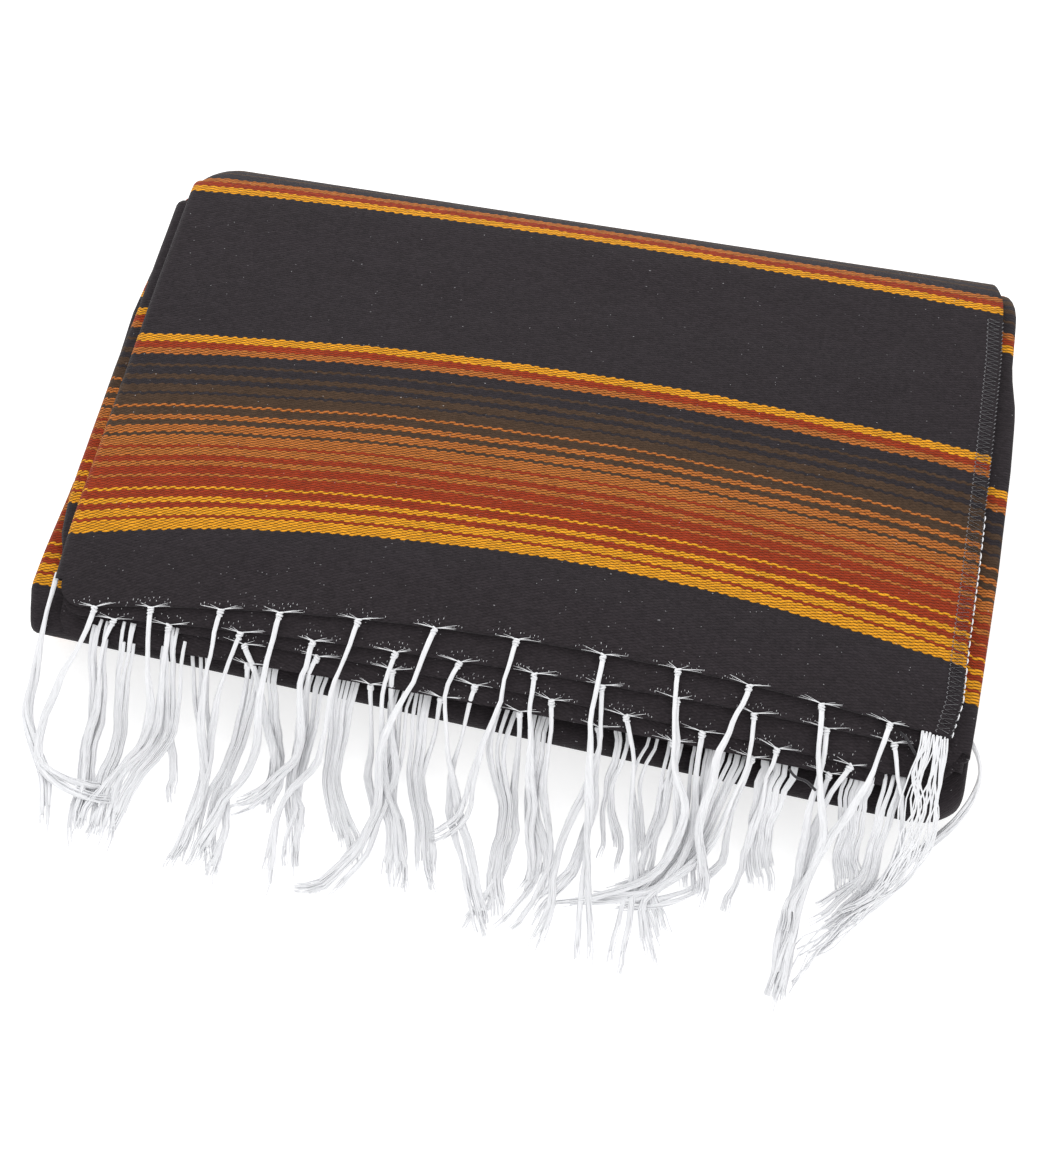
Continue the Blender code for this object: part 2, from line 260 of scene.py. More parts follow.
def add_sheet(name, rows, thickness=PLY):
    """A cloth sheet with its thickness, through rows of points.

    Each point holds its place across, its depth and height, and then how far across and
    how far along the cloth it lies.
    """
    width = len(rows[0])
    faces = []
    for i in range(len(rows) - 1):
        for j in range(width - 1):
            a = i * width + j
            faces.append((a, a + 1, a + 1 + width, a + width))
    points = [world(*point[:3]) for row in rows for point in row]
    places = [point[3:] for row in rows for point in row]
    sheet = link(name, mapped_mesh(name, points, faces, "cloth", places))
    wall = sheet.modifiers.new("wall", "SOLIDIFY")
    wall.thickness = thickness
    wall.offset = -1.0
    return sheet


def normal_on(path, i):
    """Outward direction of a path at a step, as depth and height."""
    before = path[max(i - 1, 0)]
    after = path[min(i + 1, len(path) - 1)]
    run = after[0] - before[0]
    rise = after[1] - before[1]
    size = math.hypot(run, rise)
    return -rise / size, run / size


def side_lip(x, path, i, radius, side, along, count=9, turn=math.pi, cloth_radius=None):
    """Points round a folded side edge, from the far side to the ridge."""
    depth, height = path[i]
    nd, nh = normal_on(path, i)
    points = []
    for k in range(count, 0, -1):
        angle = turn * k / count
        sunk = radius * (1.0 - math.cos(angle))
        points.append((x + side * radius * math.sin(angle),
                       depth - nd * sunk, height - nh * sunk,
                       x + side * (cloth_radius or radius) * math.pi * k / count, along))
    return points


# Top ply, which goes on round the back fold, under the stack and round the low front fold

TOP_ROWS = 104
ARC_ROWS = 26
UNDER_ROWS = 14
LOW_ROWS = 14
# How far the stripes bow forward at their middle, by depth: less towards the back
STRIPE_BOW = ((0.05, 0.0160), (0.155, 0.0096), (0.22, 0.0056))
FRONT_STRIPE_SLOPE = 0.062     # how much deeper the stripes lie per metre to the right
BACK_STRIPE_SLOPE = 0.042
TOP_LIP = 0.0042               # radius of the folded left edge: half a leaf
LOW_LIP = 0.0023               # and under the stack, where the leaf is thinner


def stripe_wander(x, depth):
    """The stripes are nowhere quite straight."""
    return 0.0007 * noise.noise(Vector((x * 14, depth * 12, 7.0)))


def top_along(x, depth):
    """Distance along the cloth from its fringed end, on the top ply."""
    bow = table_value(STRIPE_BOW, depth) * (1.0 - (x / TOP_HALF) ** 2)
    slope = mix(FRONT_STRIPE_SLOPE, BACK_STRIPE_SLOPE, smooth((depth - 0.15) / 0.08))
    return depth - slope * x - bow + stripe_wander(x, depth)


def path_lengths(path):
    """Distance along a path at each of its steps."""
    lengths = [0.0]
    for a, b in zip(path, path[1:]):
        lengths.append(lengths[-1] + math.dist(a, b))
    return lengths


@functools.lru_cache(maxsize=None)
def top_path(x):
    """The top ply's way round the stack at one place across, and the distances along it."""
    front = edge_depth(0, x)
    centre = back_centre(x)
    path = []
    for i in range(TOP_ROWS):
        depth = mix(front, centre, (i / TOP_ROWS) ** 1.15)
        path.append((depth, top_height(x, depth)))
    reach = back_reach_at(x)
    for angle in steps(0.0, math.pi, ARC_ROWS):
        path.append((centre + reach * math.sin(angle),
                     FOLD_RADIUS * (1.0 + math.cos(angle))))
    low = LOW_FOLD_DEPTH + corner_back(x, 0.0)
    for i in range(1, UNDER_ROWS):
        path.append((mix(centre, low, i / UNDER_ROWS), 0.0))
    for angle in steps(0.0, math.pi, LOW_ROWS):
        path.append((low - LOW_FOLD_RADIUS * math.sin(angle),
                     LOW_FOLD_RADIUS * (1.0 - math.cos(angle))))
    path.append((LEG_END, 2 * LOW_FOLD_RADIUS))
    return path, path_lengths(path)


def top_widening(i):
    """Half width of the outer ply as a share of the top's."""
    turned = (i - TOP_ROWS) / ARC_ROWS
    return mix(1.0, BASE_HALF / TOP_HALF, smooth(turned))


def top_right(i, depth):
    """Where the outer ply's right edge lies."""
    turned = (i - TOP_ROWS) / ARC_ROWS
    return mix(table_value(TOP_RIGHT, depth), BASE_HALF, smooth((turned - 0.45) / 0.55))


def top_lip_radius(i):
    """Radius of the outer ply's folded left edge."""
    turned = (i - TOP_ROWS) / ARC_ROWS
    under = (i - TOP_ROWS - ARC_ROWS) / UNDER_ROWS
    behind = 0.0006                # it is this much less behind the stack already
    return TOP_LIP - behind * smooth(turned) - (TOP_LIP - LOW_LIP - behind) * smooth(under)


def build_top_cloth():
    """The outermost ply, with its folded left edge."""
    places = columns_between(TOP_HALF, TOP_HALF, EDGES[0][3], 108)
    rows = []
    for i in range(len(top_path(0.0)[0])):
        reached = [x * top_widening(i) for x in places]
        row = []
        for x in reached:
            path, lengths = top_path(x)
            depth, height = path[i]
            if i <= TOP_ROWS:
                along = top_along(x, depth)
            else:
                along = top_along(x, path[TOP_ROWS][0]) + lengths[i] - lengths[TOP_ROWS]
            wider = mix(1.0, top_right(i, depth) / reached[-1], smooth(x / TOP_HALF))
            row.append((x * wider, depth, height, x, along))
        left_path, _ = top_path(reached[0])
        lip = side_lip(reached[0], left_path, i, top_lip_radius(i), -1, row[0][4])
        rows.append(lip + row)
    return add_sheet("top_cloth", rows)


# Inner plies, seen at the front edge and at the sides

# How far their right edges lie further in, by depth
INWARD = ((0.100, 0.0), (0.148, 0.0012), (0.179, 0.0030), (0.199, 0.0068), (0.232, 0.0085),
          (0.250, 0.0120))
BACK_TURN = math.radians(150.0)  # they go on this far round the back fold
BACK_TURN_ROWS = 12


def drawn_in(x, depth):
    """Place across after the right edge has come in towards the back."""
    return x - table_value(INWARD, depth) * max(x, 0.0) / TOP_HALF


def leaf_rows(level, places, left, along, count=46):
    """Rows of one inner ply from its fringed edge and round the back."""
    sunk = level * PITCH
    rows = []
    for i in range(count + 1):
        row = []
        for x in places:
            front = edge_depth(level, x, left)
            if level >= 2:
                front += rounded(x - PAIR_CORNER_START, PAIR_CORNER)
            depth = mix(front, back_centre(x), (i / count) ** 1.6)
            row.append((drawn_in(x, depth), depth, top_height(x, depth) - sunk,
                        x, along(x, depth)))
        rows.append(row)
    radius = FOLD_RADIUS - sunk - PLY_GAP
    for angle in steps(0.0, BACK_TURN, BACK_TURN_ROWS)[1:]:
        row = []
        for x in places:
            centre = back_centre(x)
            reach = back_reach_at(x) - sunk - PLY_GAP
            depth = centre + reach * math.sin(angle)
            row.append((drawn_in(x, depth), depth, FOLD_RADIUS + radius * math.cos(angle),
                        x, along(x, centre) + radius * angle))
        rows.append(row)
    return rows


def plain_along(level):
    """Distance from the fringed end where the edge is followed closely."""
    edge, slope, bow, _ = EDGES[level]
    return lambda x, depth: depth - edge - slope * x - bow * (1.0 - (x / TOP_HALF) ** 2)


def build_second_cloth():
    """The ply right under the top one."""
    places = columns_between(INNER_LEFT, SECOND_PLY_RIGHT, EDGES[1][3], 70)
    return add_sheet("second_cloth", leaf_rows(1, places, INNER_LEFT, plain_along(1)))


PAIR_RIGHT = 0.1968
PAIR_CORNER = 0.026
PAIR_CORNER_START = 0.1730
PAIR_RADIUS = 0.00185
PAIR_BULGE = 1.9               # the fold stands out this many radii
PAIR_BEND = 8


PAIR_SHIFT = -0.0078           # where the pair's stripes lie along it, at the front
PAIR_BACK_SHIFT = 0.008
PAIR_SWEEP = 0.0118


def pair_along(x, depth):
    """Stripes of the folded pair: they sweep forward towards its right fold."""
    shift = PAIR_BACK_SHIFT * smooth((depth - 0.14) / 0.07) + PAIR_SHIFT
    return depth + shift - EDGES[2][1] * x + PAIR_SWEEP * (x / TOP_HALF) ** 2


def build_folded_pair():
    """Third and fourth plies in one sheet, joined by the fold on the right."""
    places = columns_between(INNER_LEFT, PAIR_RIGHT, EDGES[2][3], 120)
    rows = []
    for upper, lower in zip(leaf_rows(2, places, INNER_LEFT, pair_along),
                            leaf_rows(3, places, INNER_LEFT, pair_along)):
        x, *near = upper[-1]
        _, *far = lower[-1]
        fold = []
        for k in range(1, PAIR_BEND):
            angle = math.pi * k / PAIR_BEND
            share = (1.0 - math.cos(angle)) / 2
            fold.append((x + PAIR_RADIUS * PAIR_BULGE * math.sin(angle),
                         mix(near[0], far[0], share),
                         mix(near[1], far[1] - PLY, share),
                         near[2] + PAIR_RADIUS * angle,
                         mix(near[3], far[3], share)))
        under = [(x, depth, height - PLY, 2 * PAIR_RIGHT - across, along)
                 for x, depth, height, across, along in reversed(lower)]
        rows.append(upper + fold + under)
    return add_sheet("folded_pair_cloth", rows)


SECOND_LEAF_LEFT = 0.1945
SECOND_LEAF_RIGHT = 0.196
SECOND_LEAF_FRINGE = 0.0063    # depth of its fringed end, from which its stripes count
LEAF_LIP = 0.0036


def second_leaf_draw(depth):
    """The second leaf's left edge curves in towards its fringed end."""
    wider = smooth((depth - 0.030) / 0.030) * smooth((0.150 - depth) / 0.040)
    return 0.003 * (1.0 - smooth(depth / 0.050)) - 0.0013 * wider


def build_second_leaf():
    """The leaf under the plies, with its folded left edge."""
    left = SECOND_LEAF_LEFT
    places = columns_between(left, SECOND_LEAF_RIGHT, EDGES[4][3], 110)
    rows = [[(x + second_leaf_draw(depth) * max(0.0, -x / left) ** 2, depth, *others)
             for x, depth, *others in row]
            for row in leaf_rows(4, places, left, lambda x, depth: depth - SECOND_LEAF_FRINGE)]
    path = [row[0][1:3] for row in rows]
    for i, row in enumerate(rows):
        x, depth, _, _, along = row[0]
        radius = LEAF_LIP * mix(0.12, 1.0, smooth((depth - 0.020) / 0.012))
        row[:0] = side_lip(x, path, i, radius, -1, along, 8)
    return add_sheet("second_leaf_cloth", rows)


# Front fold, where the middle of the blanket turns round the front of the stack

FOLD_LEFT = 0.2014
FOLD_RIGHT = 0.1990
FOLD_LIP = 0.0030
FOLD_LIP_TURN = math.pi * 0.9
FOLD_SKEW = (0.0155, -0.0060)  # its stripes lie this much further along, left and right


def front_fold_draw(depth):
    """How far the front fold's left edge comes in, at its front and where its legs end."""
    legs = 0.0012 * smooth((depth - 0.020) / 0.040)
    return legs + 0.0042 * smooth((0.009 - depth) / 0.020)


def front_fold_path():
    """Up the fold from its lower leg's end, round its front and back along the upper leg."""
    radius = FRONT_FOLD_RADIUS
    path = [(depth, FRONT_FOLD_HEIGHT - radius)
            for depth in steps(LEG_END, FRONT_FOLD_DEPTH, 8)[:-1]]
    for angle in steps(math.pi, 0.0, 18):
        path.append((FRONT_FOLD_DEPTH - radius * math.sin(angle),
                     FRONT_FOLD_HEIGHT + radius * math.cos(angle)))
    return path + [(depth, FRONT_FOLD_HEIGHT + radius)
                   for depth in steps(FRONT_FOLD_DEPTH, LEG_END, 14)[1:]]


def build_front_fold():
    """The fold that shows at the front, under the fringed edges."""
    path = front_fold_path()
    lengths = path_lengths(path)
    apex = lengths[8] + FRONT_FOLD_RADIUS * math.pi / 2
    rows = []
    for i, (depth, height) in enumerate(path):
        along = 6 * REPEAT + lengths[i] - apex
        row = []
        for x in columns_between(FOLD_LEFT, FOLD_RIGHT, 0.006, 120):
            share = max(0.0, -x / FOLD_LEFT) ** 2
            skew = mix(*FOLD_SKEW, (x + FOLD_LEFT) / (FOLD_LEFT + FOLD_RIGHT))
            uneven = 0.0008 * noise.noise(Vector((x * 18, along * 12, 2.0)))
            row.append((x + front_fold_draw(depth) * share, depth, height,
                        x, along + skew + uneven))
        left = side_lip(row[0][0], path, i, FOLD_LIP, -1, row[0][4], 7, FOLD_LIP_TURN)
        right = side_lip(row[-1][0], path, i, FOLD_LIP * 0.8, 1, row[-1][4], 6,
                         FOLD_LIP_TURN, FOLD_LIP)
        rows.append([(x, depth + corner_back(x, depth), *others)
                     for x, depth, *others in left + row + right[::-1]])
    return add_sheet("front_fold_cloth", rows)


# Side edges of the hidden leaves, which run back and forth through the whole stack

# Back folds, from the outermost pair of leaves inwards: radius of each leaf's middle
BACK_RADII = (0.0240, 0.0176, 0.0112, 0.0044)
# Leaves counted from the top: height of each lower one's middle at the front
FRONT_HEIGHTS = {8: 0.0026, 7: 0.0077, 6: 0.0128, 5: 0.0179, 4: 0.0245, 3: 0.0315}
# Thickness of a leaf at the back, and at the front for the lower, middle and top two leaves
LEAF_THICKNESS_BACK = 0.0064
LOW_THICKNESS = 0.0050
MIDDLE_THICKNESS = 0.0066
SECOND_THICKNESS = 0.0070
TOP_THICKNESS = 0.0076
LOW_TURN_OUTER = 0.00765       # radii of the leaves' middles round the front folds
LOW_TURN_INNER = 0.00255
FRONT_TURN = 0.0035
SETTLE_LENGTH = 0.150          # the leaves ease from their back heights over this length


def leaf_heights(leaf, depth, x):
    """Height of the middle of a leaf over the floor."""
    pair = min(leaf, 9 - leaf) - 1
    away = smooth((back_centre(x) - depth) / SETTLE_LENGTH)
    if leaf <= 4:
        back = FOLD_RADIUS + BACK_RADII[pair]
    else:
        back = FOLD_RADIUS - BACK_RADII[pair]
    if leaf == 1:
        front = top_height(x, depth) - 0.0038
    elif leaf == 2:
        front = top_height(x, depth) - 4 * PITCH - 0.0034
    else:
        front = FRONT_HEIGHTS[leaf]
    return mix(back, front, away)


def leaf_run(leaf, x, backwards, front, thickness_front):
    """Stations along one leaf: depth, height and thickness, from front to back or back."""
    centre = back_centre(x)
    stations = []
    for depth in steps(front, centre, 30):
        away = smooth((centre - depth) / SETTLE_LENGTH)
        stations.append((depth, leaf_heights(leaf, depth, x),
                         mix(LEAF_THICKNESS_BACK, thickness_front, away)))
    return stations if backwards else stations[::-1]


def turn_run(centre_depth, centre_height, radius, thickness, back, down):
    """Stations round a fold."""
    stations = []
    for angle in steps(0.0, math.pi, 14)[1:-1]:
        sign = 1 if back else -1
        rise = math.cos(angle) if down else -math.cos(angle)
        stations.append((centre_depth + sign * radius * math.sin(angle),
                         centre_height + radius * rise, thickness))
    return stations


def serpentine(x):
    """Stations of the blanket's middle surface, folded back and forth, from the top leaf."""
    centre = back_centre(x)
    low = LOW_FOLD_DEPTH
    front = FRONT_FOLD_DEPTH

    def back_turn(pair, down):
        return turn_run(centre, FOLD_RADIUS, BACK_RADII[pair], LEAF_THICKNESS_BACK, True, down)

    return [
        leaf_run(1, x, True, 0.02, TOP_THICKNESS),
        back_turn(0, True),
        leaf_run(8, x, False, low, LOW_THICKNESS),
        turn_run(low, LOW_FOLD_RADIUS, LOW_TURN_OUTER, LOW_THICKNESS, False, False),
        leaf_run(5, x, True, low, LOW_THICKNESS),
        back_turn(3, False),
        leaf_run(4, x, False, front, MIDDLE_THICKNESS),
        turn_run(front, FRONT_FOLD_HEIGHT, FRONT_TURN, MIDDLE_THICKNESS, False, False),
        leaf_run(3, x, True, front, MIDDLE_THICKNESS),
        back_turn(2, True),
        leaf_run(6, x, False, low, LOW_THICKNESS),
        turn_run(low, LOW_FOLD_RADIUS, LOW_TURN_INNER, LOW_THICKNESS, False, True),
        leaf_run(7, x, True, low, LOW_THICKNESS),
        back_turn(1, False),
        leaf_run(2, x, False, 0.004, SECOND_THICKNESS),
    ]


# Outline across a leaf's side edge, from its upper face to its lower: how far out from
# the reach, and place in its thickness. The right one has the leaf's plies apart.
LEFT_SECTION = ((-0.016, 0.50), (-0.004, 0.50), (-0.0016, 0.43), (-0.0004, 0.30), (0.0, 0.15),
                (0.0, 0.0), (0.0, -0.15), (-0.0004, -0.30), (-0.0016, -0.43), (-0.004, -0.50),
                (-0.016, -0.50))
RIGHT_SECTION = ((-0.016, 0.50), (-0.0034, 0.50), (-0.0028, 0.47), (-0.0026, 0.40),
                 (-0.0030, 0.31), (-0.0045, 0.29), (-0.0026, 0.27), (-0.0020, 0.20),
                 (-0.0022, 0.11), (-0.0028, 0.05), (-0.0048, 0.03), (-0.0012, 0.01),
                 (-0.0002, -0.10), (0.0, -0.22), (-0.0003, -0.36), (-0.0016, -0.47),
                 (-0.0040, -0.50), (-0.016, -0.50))
EDGE_WALL = 0.0006
# How far the leaves' side edges stand out, by depth
LEFT_REACH = ((-0.012, 0.1985), (0.008, 0.2022), (0.020, 0.2030), (0.060, 0.2032),
              (0.150, 0.2035), (0.200, 0.1990), (0.222, 0.1900), (0.236, 0.1800))
RIGHT_REACH = ((0.020, 0.2000), (0.060, 0.1995), (0.150, 0.1990), (0.180, 0.1965),
               (0.200, 0.1925), (0.235, 0.1875), (0.250, 0.1800))


def build_edges(name, side, section, runs_used, reaches):
    """The side edges of the hidden leaves, as one band along their whole way."""
    runs = serpentine(side * BASE_HALF)
    stations = [station for run in runs for station in run]
    first, end = (sum(len(run) for run in runs[:count]) for count in runs_used)
    path = [station[:2] for station in stations]
    lengths = path_lengths(path)
    rows = []
    for i in range(first, end):
        depth, height, thickness = stations[i]
        nd, nh = normal_on(path, i)
        wobble = 0.0012 * noise.noise(Vector((lengths[i] * 9, side * 3.0, 0.0)))
        wobble += 0.0005 * noise.noise(Vector((lengths[i] * 45, side * 5.0, 0.0)))
        reach = table_value(reaches, depth) + wobble - 0.001
        depth += corner_back(side * reach, depth)
        row = [(side * (reach + out), depth + nd * thickness * share,
                height + nh * thickness * share) for out, share in section]
        along = 0.02 + lengths[i] * (BLANKET_LENGTH / lengths[-1])
        row = [(*point, around, along) for point, around in zip(row, path_lengths(row))]
        rows.append(row[::side])
    return add_sheet(name, rows, EDGE_WALL)


# Materials

class Value:
    """A number inside a material. Arithmetic on it adds math nodes."""

    def __init__(self, nodes, socket):
        self.nodes = nodes
        self.socket = socket

    def __add__(self, other):
        return self.nodes.math("ADD", self, other)

    def __sub__(self, other):
        return self.nodes.math("SUBTRACT", self, other)

    def __rsub__(self, other):
        return self.nodes.math("SUBTRACT", other, self)

    def __mul__(self, other):
        return self.nodes.math("MULTIPLY", self, other)

    def __truediv__(self, other):
        return self.nodes.math("DIVIDE", self, other)

    def __gt__(self, other):
        return self.nodes.math("GREATER_THAN", self, other)

    def __lt__(self, other):
        return self.nodes.math("LESS_THAN", self, other)


class Nodes:
    """Short calls for building one material."""

    def __init__(self, name):
        self.material = bpy.data.materials.new(name)
        self.material.use_nodes = True
        self.tree = self.material.node_tree
        self.shader = self.tree.nodes["Principled BSDF"]

    def put(self, socket, value):
        if isinstance(value, Value):
            self.tree.links.new(value.socket, socket)
        else:
            socket.default_value = value

    def node(self, kind, *values, **settings):
        """A new node with its settings and, in order, the values of its first sockets."""
        item = self.tree.nodes.new(kind)
        for key, value in settings.items():
            setattr(item, key, value)
        for socket, value in zip(item.inputs, values):
            self.put(socket, value)
        return item

    def output(self, item, which=0):
        return Value(self, item.outputs[which])

    def math(self, operation, *values):
        return self.output(self.node("ShaderNodeMath", *values, operation=operation))

    def vector(self, x, y, z=0.0):
        return self.output(self.node("ShaderNodeCombineXYZ", x, y, z))

    def mesh_map(self, name):
        """The mesh's map of this name, whole and as its two lengths."""
        uv = self.output(self.node("ShaderNodeUVMap", uv_map=name))
        parts = self.node("ShaderNodeSeparateXYZ", uv)
        return uv, self.output(parts, 0), self.output(parts, 1)

    def noise(self, vector, scale, detail=2.0, roughness=0.5):
        item = self.node("ShaderNodeTexNoise")
        for key, value in (("Vector", vector), ("Scale", scale), ("Detail", detail),
                           ("Roughness", roughness)):
            self.put(item.inputs[key], value)
        return self.output(item, "Fac")

    def white(self, x, y, z=0.0):
        """A random number from 0 to 1 for each place."""
        item = self.node("ShaderNodeTexWhiteNoise", self.vector(x, y, z),
                         noise_dimensions="3D")
        return self.output(item, "Value")

    def ramp(self, factor, stops):
        """Colours with hard edges between them."""
        item = self.node("ShaderNodeValToRGB", factor)
        item.color_ramp.interpolation = "CONSTANT"
        elements = item.color_ramp.elements
        elements.remove(elements[0])
        elements[0].position = stops[0][0]
        elements[0].color = (*stops[0][1], 1.0)
        for position, colour in stops[1:]:
            elements.new(position).color = (*colour, 1.0)
        return self.output(item, "Color")

    def blend(self, factor, a, b):
        item = self.node("ShaderNodeMix", data_type="RGBA")
        self.put(item.inputs["Factor"], factor)
        for key, value in (("A", a), ("B", b)):
            if isinstance(value, tuple):
                value = (*value, 1.0)
            self.put(item.inputs[key], value)
        return self.output(item, "Result")

    def map_range(self, value, low, high, to_low=0.0, to_high=1.0):
        item = self.node("ShaderNodeMapRange", value, low, high, to_low, to_high)
        return self.output(item, "Result")

    def scale_colour(self, colour, factor):
        item = self.node("ShaderNodeVectorMath", colour, operation="SCALE")
        self.put(item.inputs["Scale"], factor)
        return self.output(item)

    def bump(self, height, distance):
        item = self.node("ShaderNodeBump")
        item.inputs["Distance"].default_value = distance
        self.put(item.inputs["Height"], height)
        self.put(self.shader.inputs["Normal"], self.output(item, "Normal"))

    def surface(self, colour, **settings):
        """The shader's colour and its other settings, with _ for the spaces in their names."""
        self.put(self.shader.inputs["Base Color"], colour)
        for key, value in settings.items():
            self.shader.inputs[key.replace("_", " ")].default_value = value


# One run of colours, from its gold end: each stripe's colour and its number of picks

def shading_into(first, second):
    """Stripes that pass from one colour to the next, thin ones growing wide."""
    return ((second, 1), (first, 3), (second, 2), (first, 2), (second, 3), (first, 1))


COLOUR_STRIPES = (
    ((GOLD, 4),) + shading_into(GOLD, RED)
    + ((RED, 4),) + shading_into(RED, ORANGE)
    + ((ORANGE, 4),) + shading_into(ORANGE, BROWN)
    + ((BROWN, 4),) + shading_into(BROWN, DARK)
    + ((DARK, 4), (ORANGE, 2.5), (RED, 2.5), (GOLD, 3))
)


def stripe_stops():
    """The stripes as two ramps, because one ramp holds few stops and is coarse."""
    total = sum(picks for _, picks in COLOUR_STRIPES)
    stops = []
    reached = 0.0
    for colour, picks in COLOUR_STRIPES:
        stops.append((reached / total, colour))
        reached += picks
    half = min(range(len(stops)), key=lambda k: abs(stops[k][0] - 0.5))
    split = stops[half][0]
    first = [(place / split, colour) for place, colour in stops[:half]]
    second = [((place - split) / (1.0 - split), colour) for place, colour in stops[half:]]
    return first, second, split


STRIPE_SHIFT = 0.25            # picks by which a stripe's edge falls between two floats
FLOAT_SLANT = 0.16
FLOAT_SHAPE = 0.30             # smaller makes a longer, more pointed float


def nearest_float(a, b, shift):
    """The nearest float of one set: its column and row, and how far off its middle."""
    nodes = a.nodes
    column = nodes.math("FLOOR", (a + (1.0 - shift)) * 0.5) * 2.0 + shift
    da = a - column
    sheared = b - da * FLOAT_SLANT
    row = nodes.math("FLOOR", sheared + 0.5 * shift) + (0.5 - 0.5 * shift)
    db = sheared - row
    away = da * da * FLOAT_SHAPE + db * db
    return column, row, away, da, db


def stripe_colour(n, level):
    """The stripes by number of picks from the fringed end, mirrored at each end of a run."""
    band = DARK_PICKS + RUN_PICKS
    ahead = STRIPE_SHIFT + 20 * band       # whole bands, which keep the number above zero
    within = n.math("PINGPONG", level + ahead, float(band))
    t = (within - DARK_PICKS / 2) / float(RUN_PICKS)
    first, second, parting = stripe_stops()
    colours = n.blend(t > parting, n.ramp(t / parting, first),
                      n.ramp((t - parting) / (1.0 - parting), second))
    return n.blend((t > 0.0) * (t < 1.0), DARK, colours)


def warp_specks(n, column, row, da, db, along):
    """White warp ends that show here and there between floats, more of them near the fringe."""
    common = n.map_range(n.math("ABSOLUTE", along), 0.0, 0.045, 0.955, 0.985)
    chosen = n.white(row, column, 5.0) > common
    spot = n.math("POWER", da - 0.25, 2.0) + n.math("POWER", db * 0.7, 2.0)
    strength = n.white(row, column, 9.0) * 0.45 + 0.10
    return chosen * (spot < 0.009) * strength


def cloth_material(name):
    """Lens-shaped weft floats, offset by half a step, in the blanket's stripes."""
    n = Nodes(name)
    uv, across, along = n.mesh_map("cloth")
    # Place in the weave, a little uneven, and the nearer float of the two sets
    a = across / WARP + (n.noise(n.vector(along, across), 300.0) - 0.5) * 1.3
    b = along / PICK + (n.noise(uv, 120.0) - 0.5) * 0.9
    even = nearest_float(a, b, 0.0)
    odd = nearest_float(a, b, 1.0)
    choose = odd[2] < even[2]
    column, row, away, da, db = [e + (o - e) * choose for e, o in zip(even, odd)]
    colour = stripe_colour(n, row * 0.8 + b * 0.2)
    brightness = n.output(n.node("ShaderNodeRGBToBW", colour))
    light_cloth = n.map_range(brightness, 0.04, 0.14)

    # Brightness: each float its own, soft patches, fine fibres, and painted shade in the gaps
    # between floats with a painted highlight on each float's middle, which show less in the
    # dark cloth
    shape = n.math("SQRT", n.math("MAXIMUM", 1.0 - away * 4.8, 0.0))
    fibre = n.noise(n.vector(across * 0.35, along), 1900.0, 3.0, 0.7)
    cloud = n.noise(uv, 55.0, 3.0, 0.6)
    grain = 1.75 - light_cloth * 0.60
    tone = n.white(column, row) * 0.28 + 0.86 + (cloud - 0.5) * 0.20 + (fibre - 0.5) * grain
    # Painted shade, darker in the gaps between floats, and painted highlight, lighter at their
    # middles
    float_shade_and_highlight = n.map_range(shape, 0.30, 0.95, 0.20, 1.16)
    dark_cloth_float_shading = n.map_range(shape, 0.2, 0.95, 0.76, 1.09)
    shade = float_shade_and_highlight * light_cloth + dark_cloth_float_shading * (1.0 - light_cloth)
    colour = n.scale_colour(colour, tone * shade)
    specks = warp_specks(n, column, row, da, db, along)
    n.surface(n.blend(specks, colour, SPECK), Roughness=0.92, Sheen_Weight=0.07,
              Sheen_Roughness=0.5, Specular_IOR_Level=0.12)
    nap = n.noise(uv, 2600.0, 3.0, 0.7)
    n.bump(shape * (light_cloth * 0.78 + 0.22) + nap * 0.35, 0.00060)
    return n.material


def yarn_material(name, colour):
    """Soft silky yarn with fine lines along it."""
    n = Nodes(name)
    uv, around, along = n.mesh_map("strand")
    lines = n.noise(n.vector(around, along * 0.05), 2600.0, 2.0, 0.6)
    patches = n.noise(uv, 120.0, 2.0, 0.5)
    tone = (lines - 0.5) * 0.42 + 0.98 + (patches - 0.5) * 0.12
    n.surface(n.scale_colour(colour, tone), Roughness=0.62, Sheen_Weight=0.25,
              Sheen_Roughness=0.5, Specular_IOR_Level=0.3)
    n.bump(lines, 0.00016)
    return n.material


# Fringe

class Strands:
    """Collects many thin tubes into one mesh."""

    def __init__(self, name, seed):
        self.name = name
        self.points = []
        self.faces = []
        self.uvs = []
        self.random = random.Random(seed)

    def tube(self, points, radii, sides=5, closed=False):
        """One strand through world points."""
        first = len(self.points)
        count = len(points)
        side = None
        shift = self.random.uniform(0.0, 4.0)
        travelled = self.random.uniform(0.0, 2.0)
        for i, point in enumerate(points):
            before = points[i - 1] if (i > 0 or closed) else point
            after = points[(i + 1) % count] if (i < count - 1 or closed) else point
            ahead = (after - before).normalized()
            if side is None:
                side = Vector((1.0, 0.0, 0.0)) if abs(ahead.x) < 0.8 else Vector((0, 1.0, 0))
            side = (side - ahead * side.dot(ahead)).normalized()
            up = ahead.cross(side)
            if i:
                travelled += (point - points[i - 1]).length
            for k in range(sides):
                angle = 2 * math.pi * k / sides
                self.points.append(point + (side * math.cos(angle) + up * math.sin(angle))
                                   * radii[i])
                self.uvs.append((shift + radii[i] * angle, travelled))
        last = count if closed else count - 1
        for i in range(last):
            for k in range(sides):
                a = first + i * sides + k
                b = first + i * sides + (k + 1) % sides
                c = first + ((i + 1) % count) * sides + (k + 1) % sides
                d = first + ((i + 1) % count) * sides + k
                self.faces.append((a, b, c, d))
        if not closed:
            self.faces.append(tuple(first + k for k in range(sides))[::-1])
            self.faces.append(tuple(first + (count - 1) * sides + k for k in range(sides)))

    def finish(self, material):
        mesh = mapped_mesh(self.name, self.points, self.faces, "strand", self.uvs)
        return link(self.name, mesh, material)


FRONT_CLEAR = -0.0128          # nothing of the fringe is behind this where it hangs
HIGH_SHOULDER = -0.0150        # where the top row starts to fall
LOW_SHOULDER_HEIGHT = 0.0375
HIDDEN_HEIGHT = 0.042          # where the hidden ends come out
TASSEL_HALF = 0.0018           # half the thickness of a tassel
FOLD_HALF = 0.205              # half width of the front folds
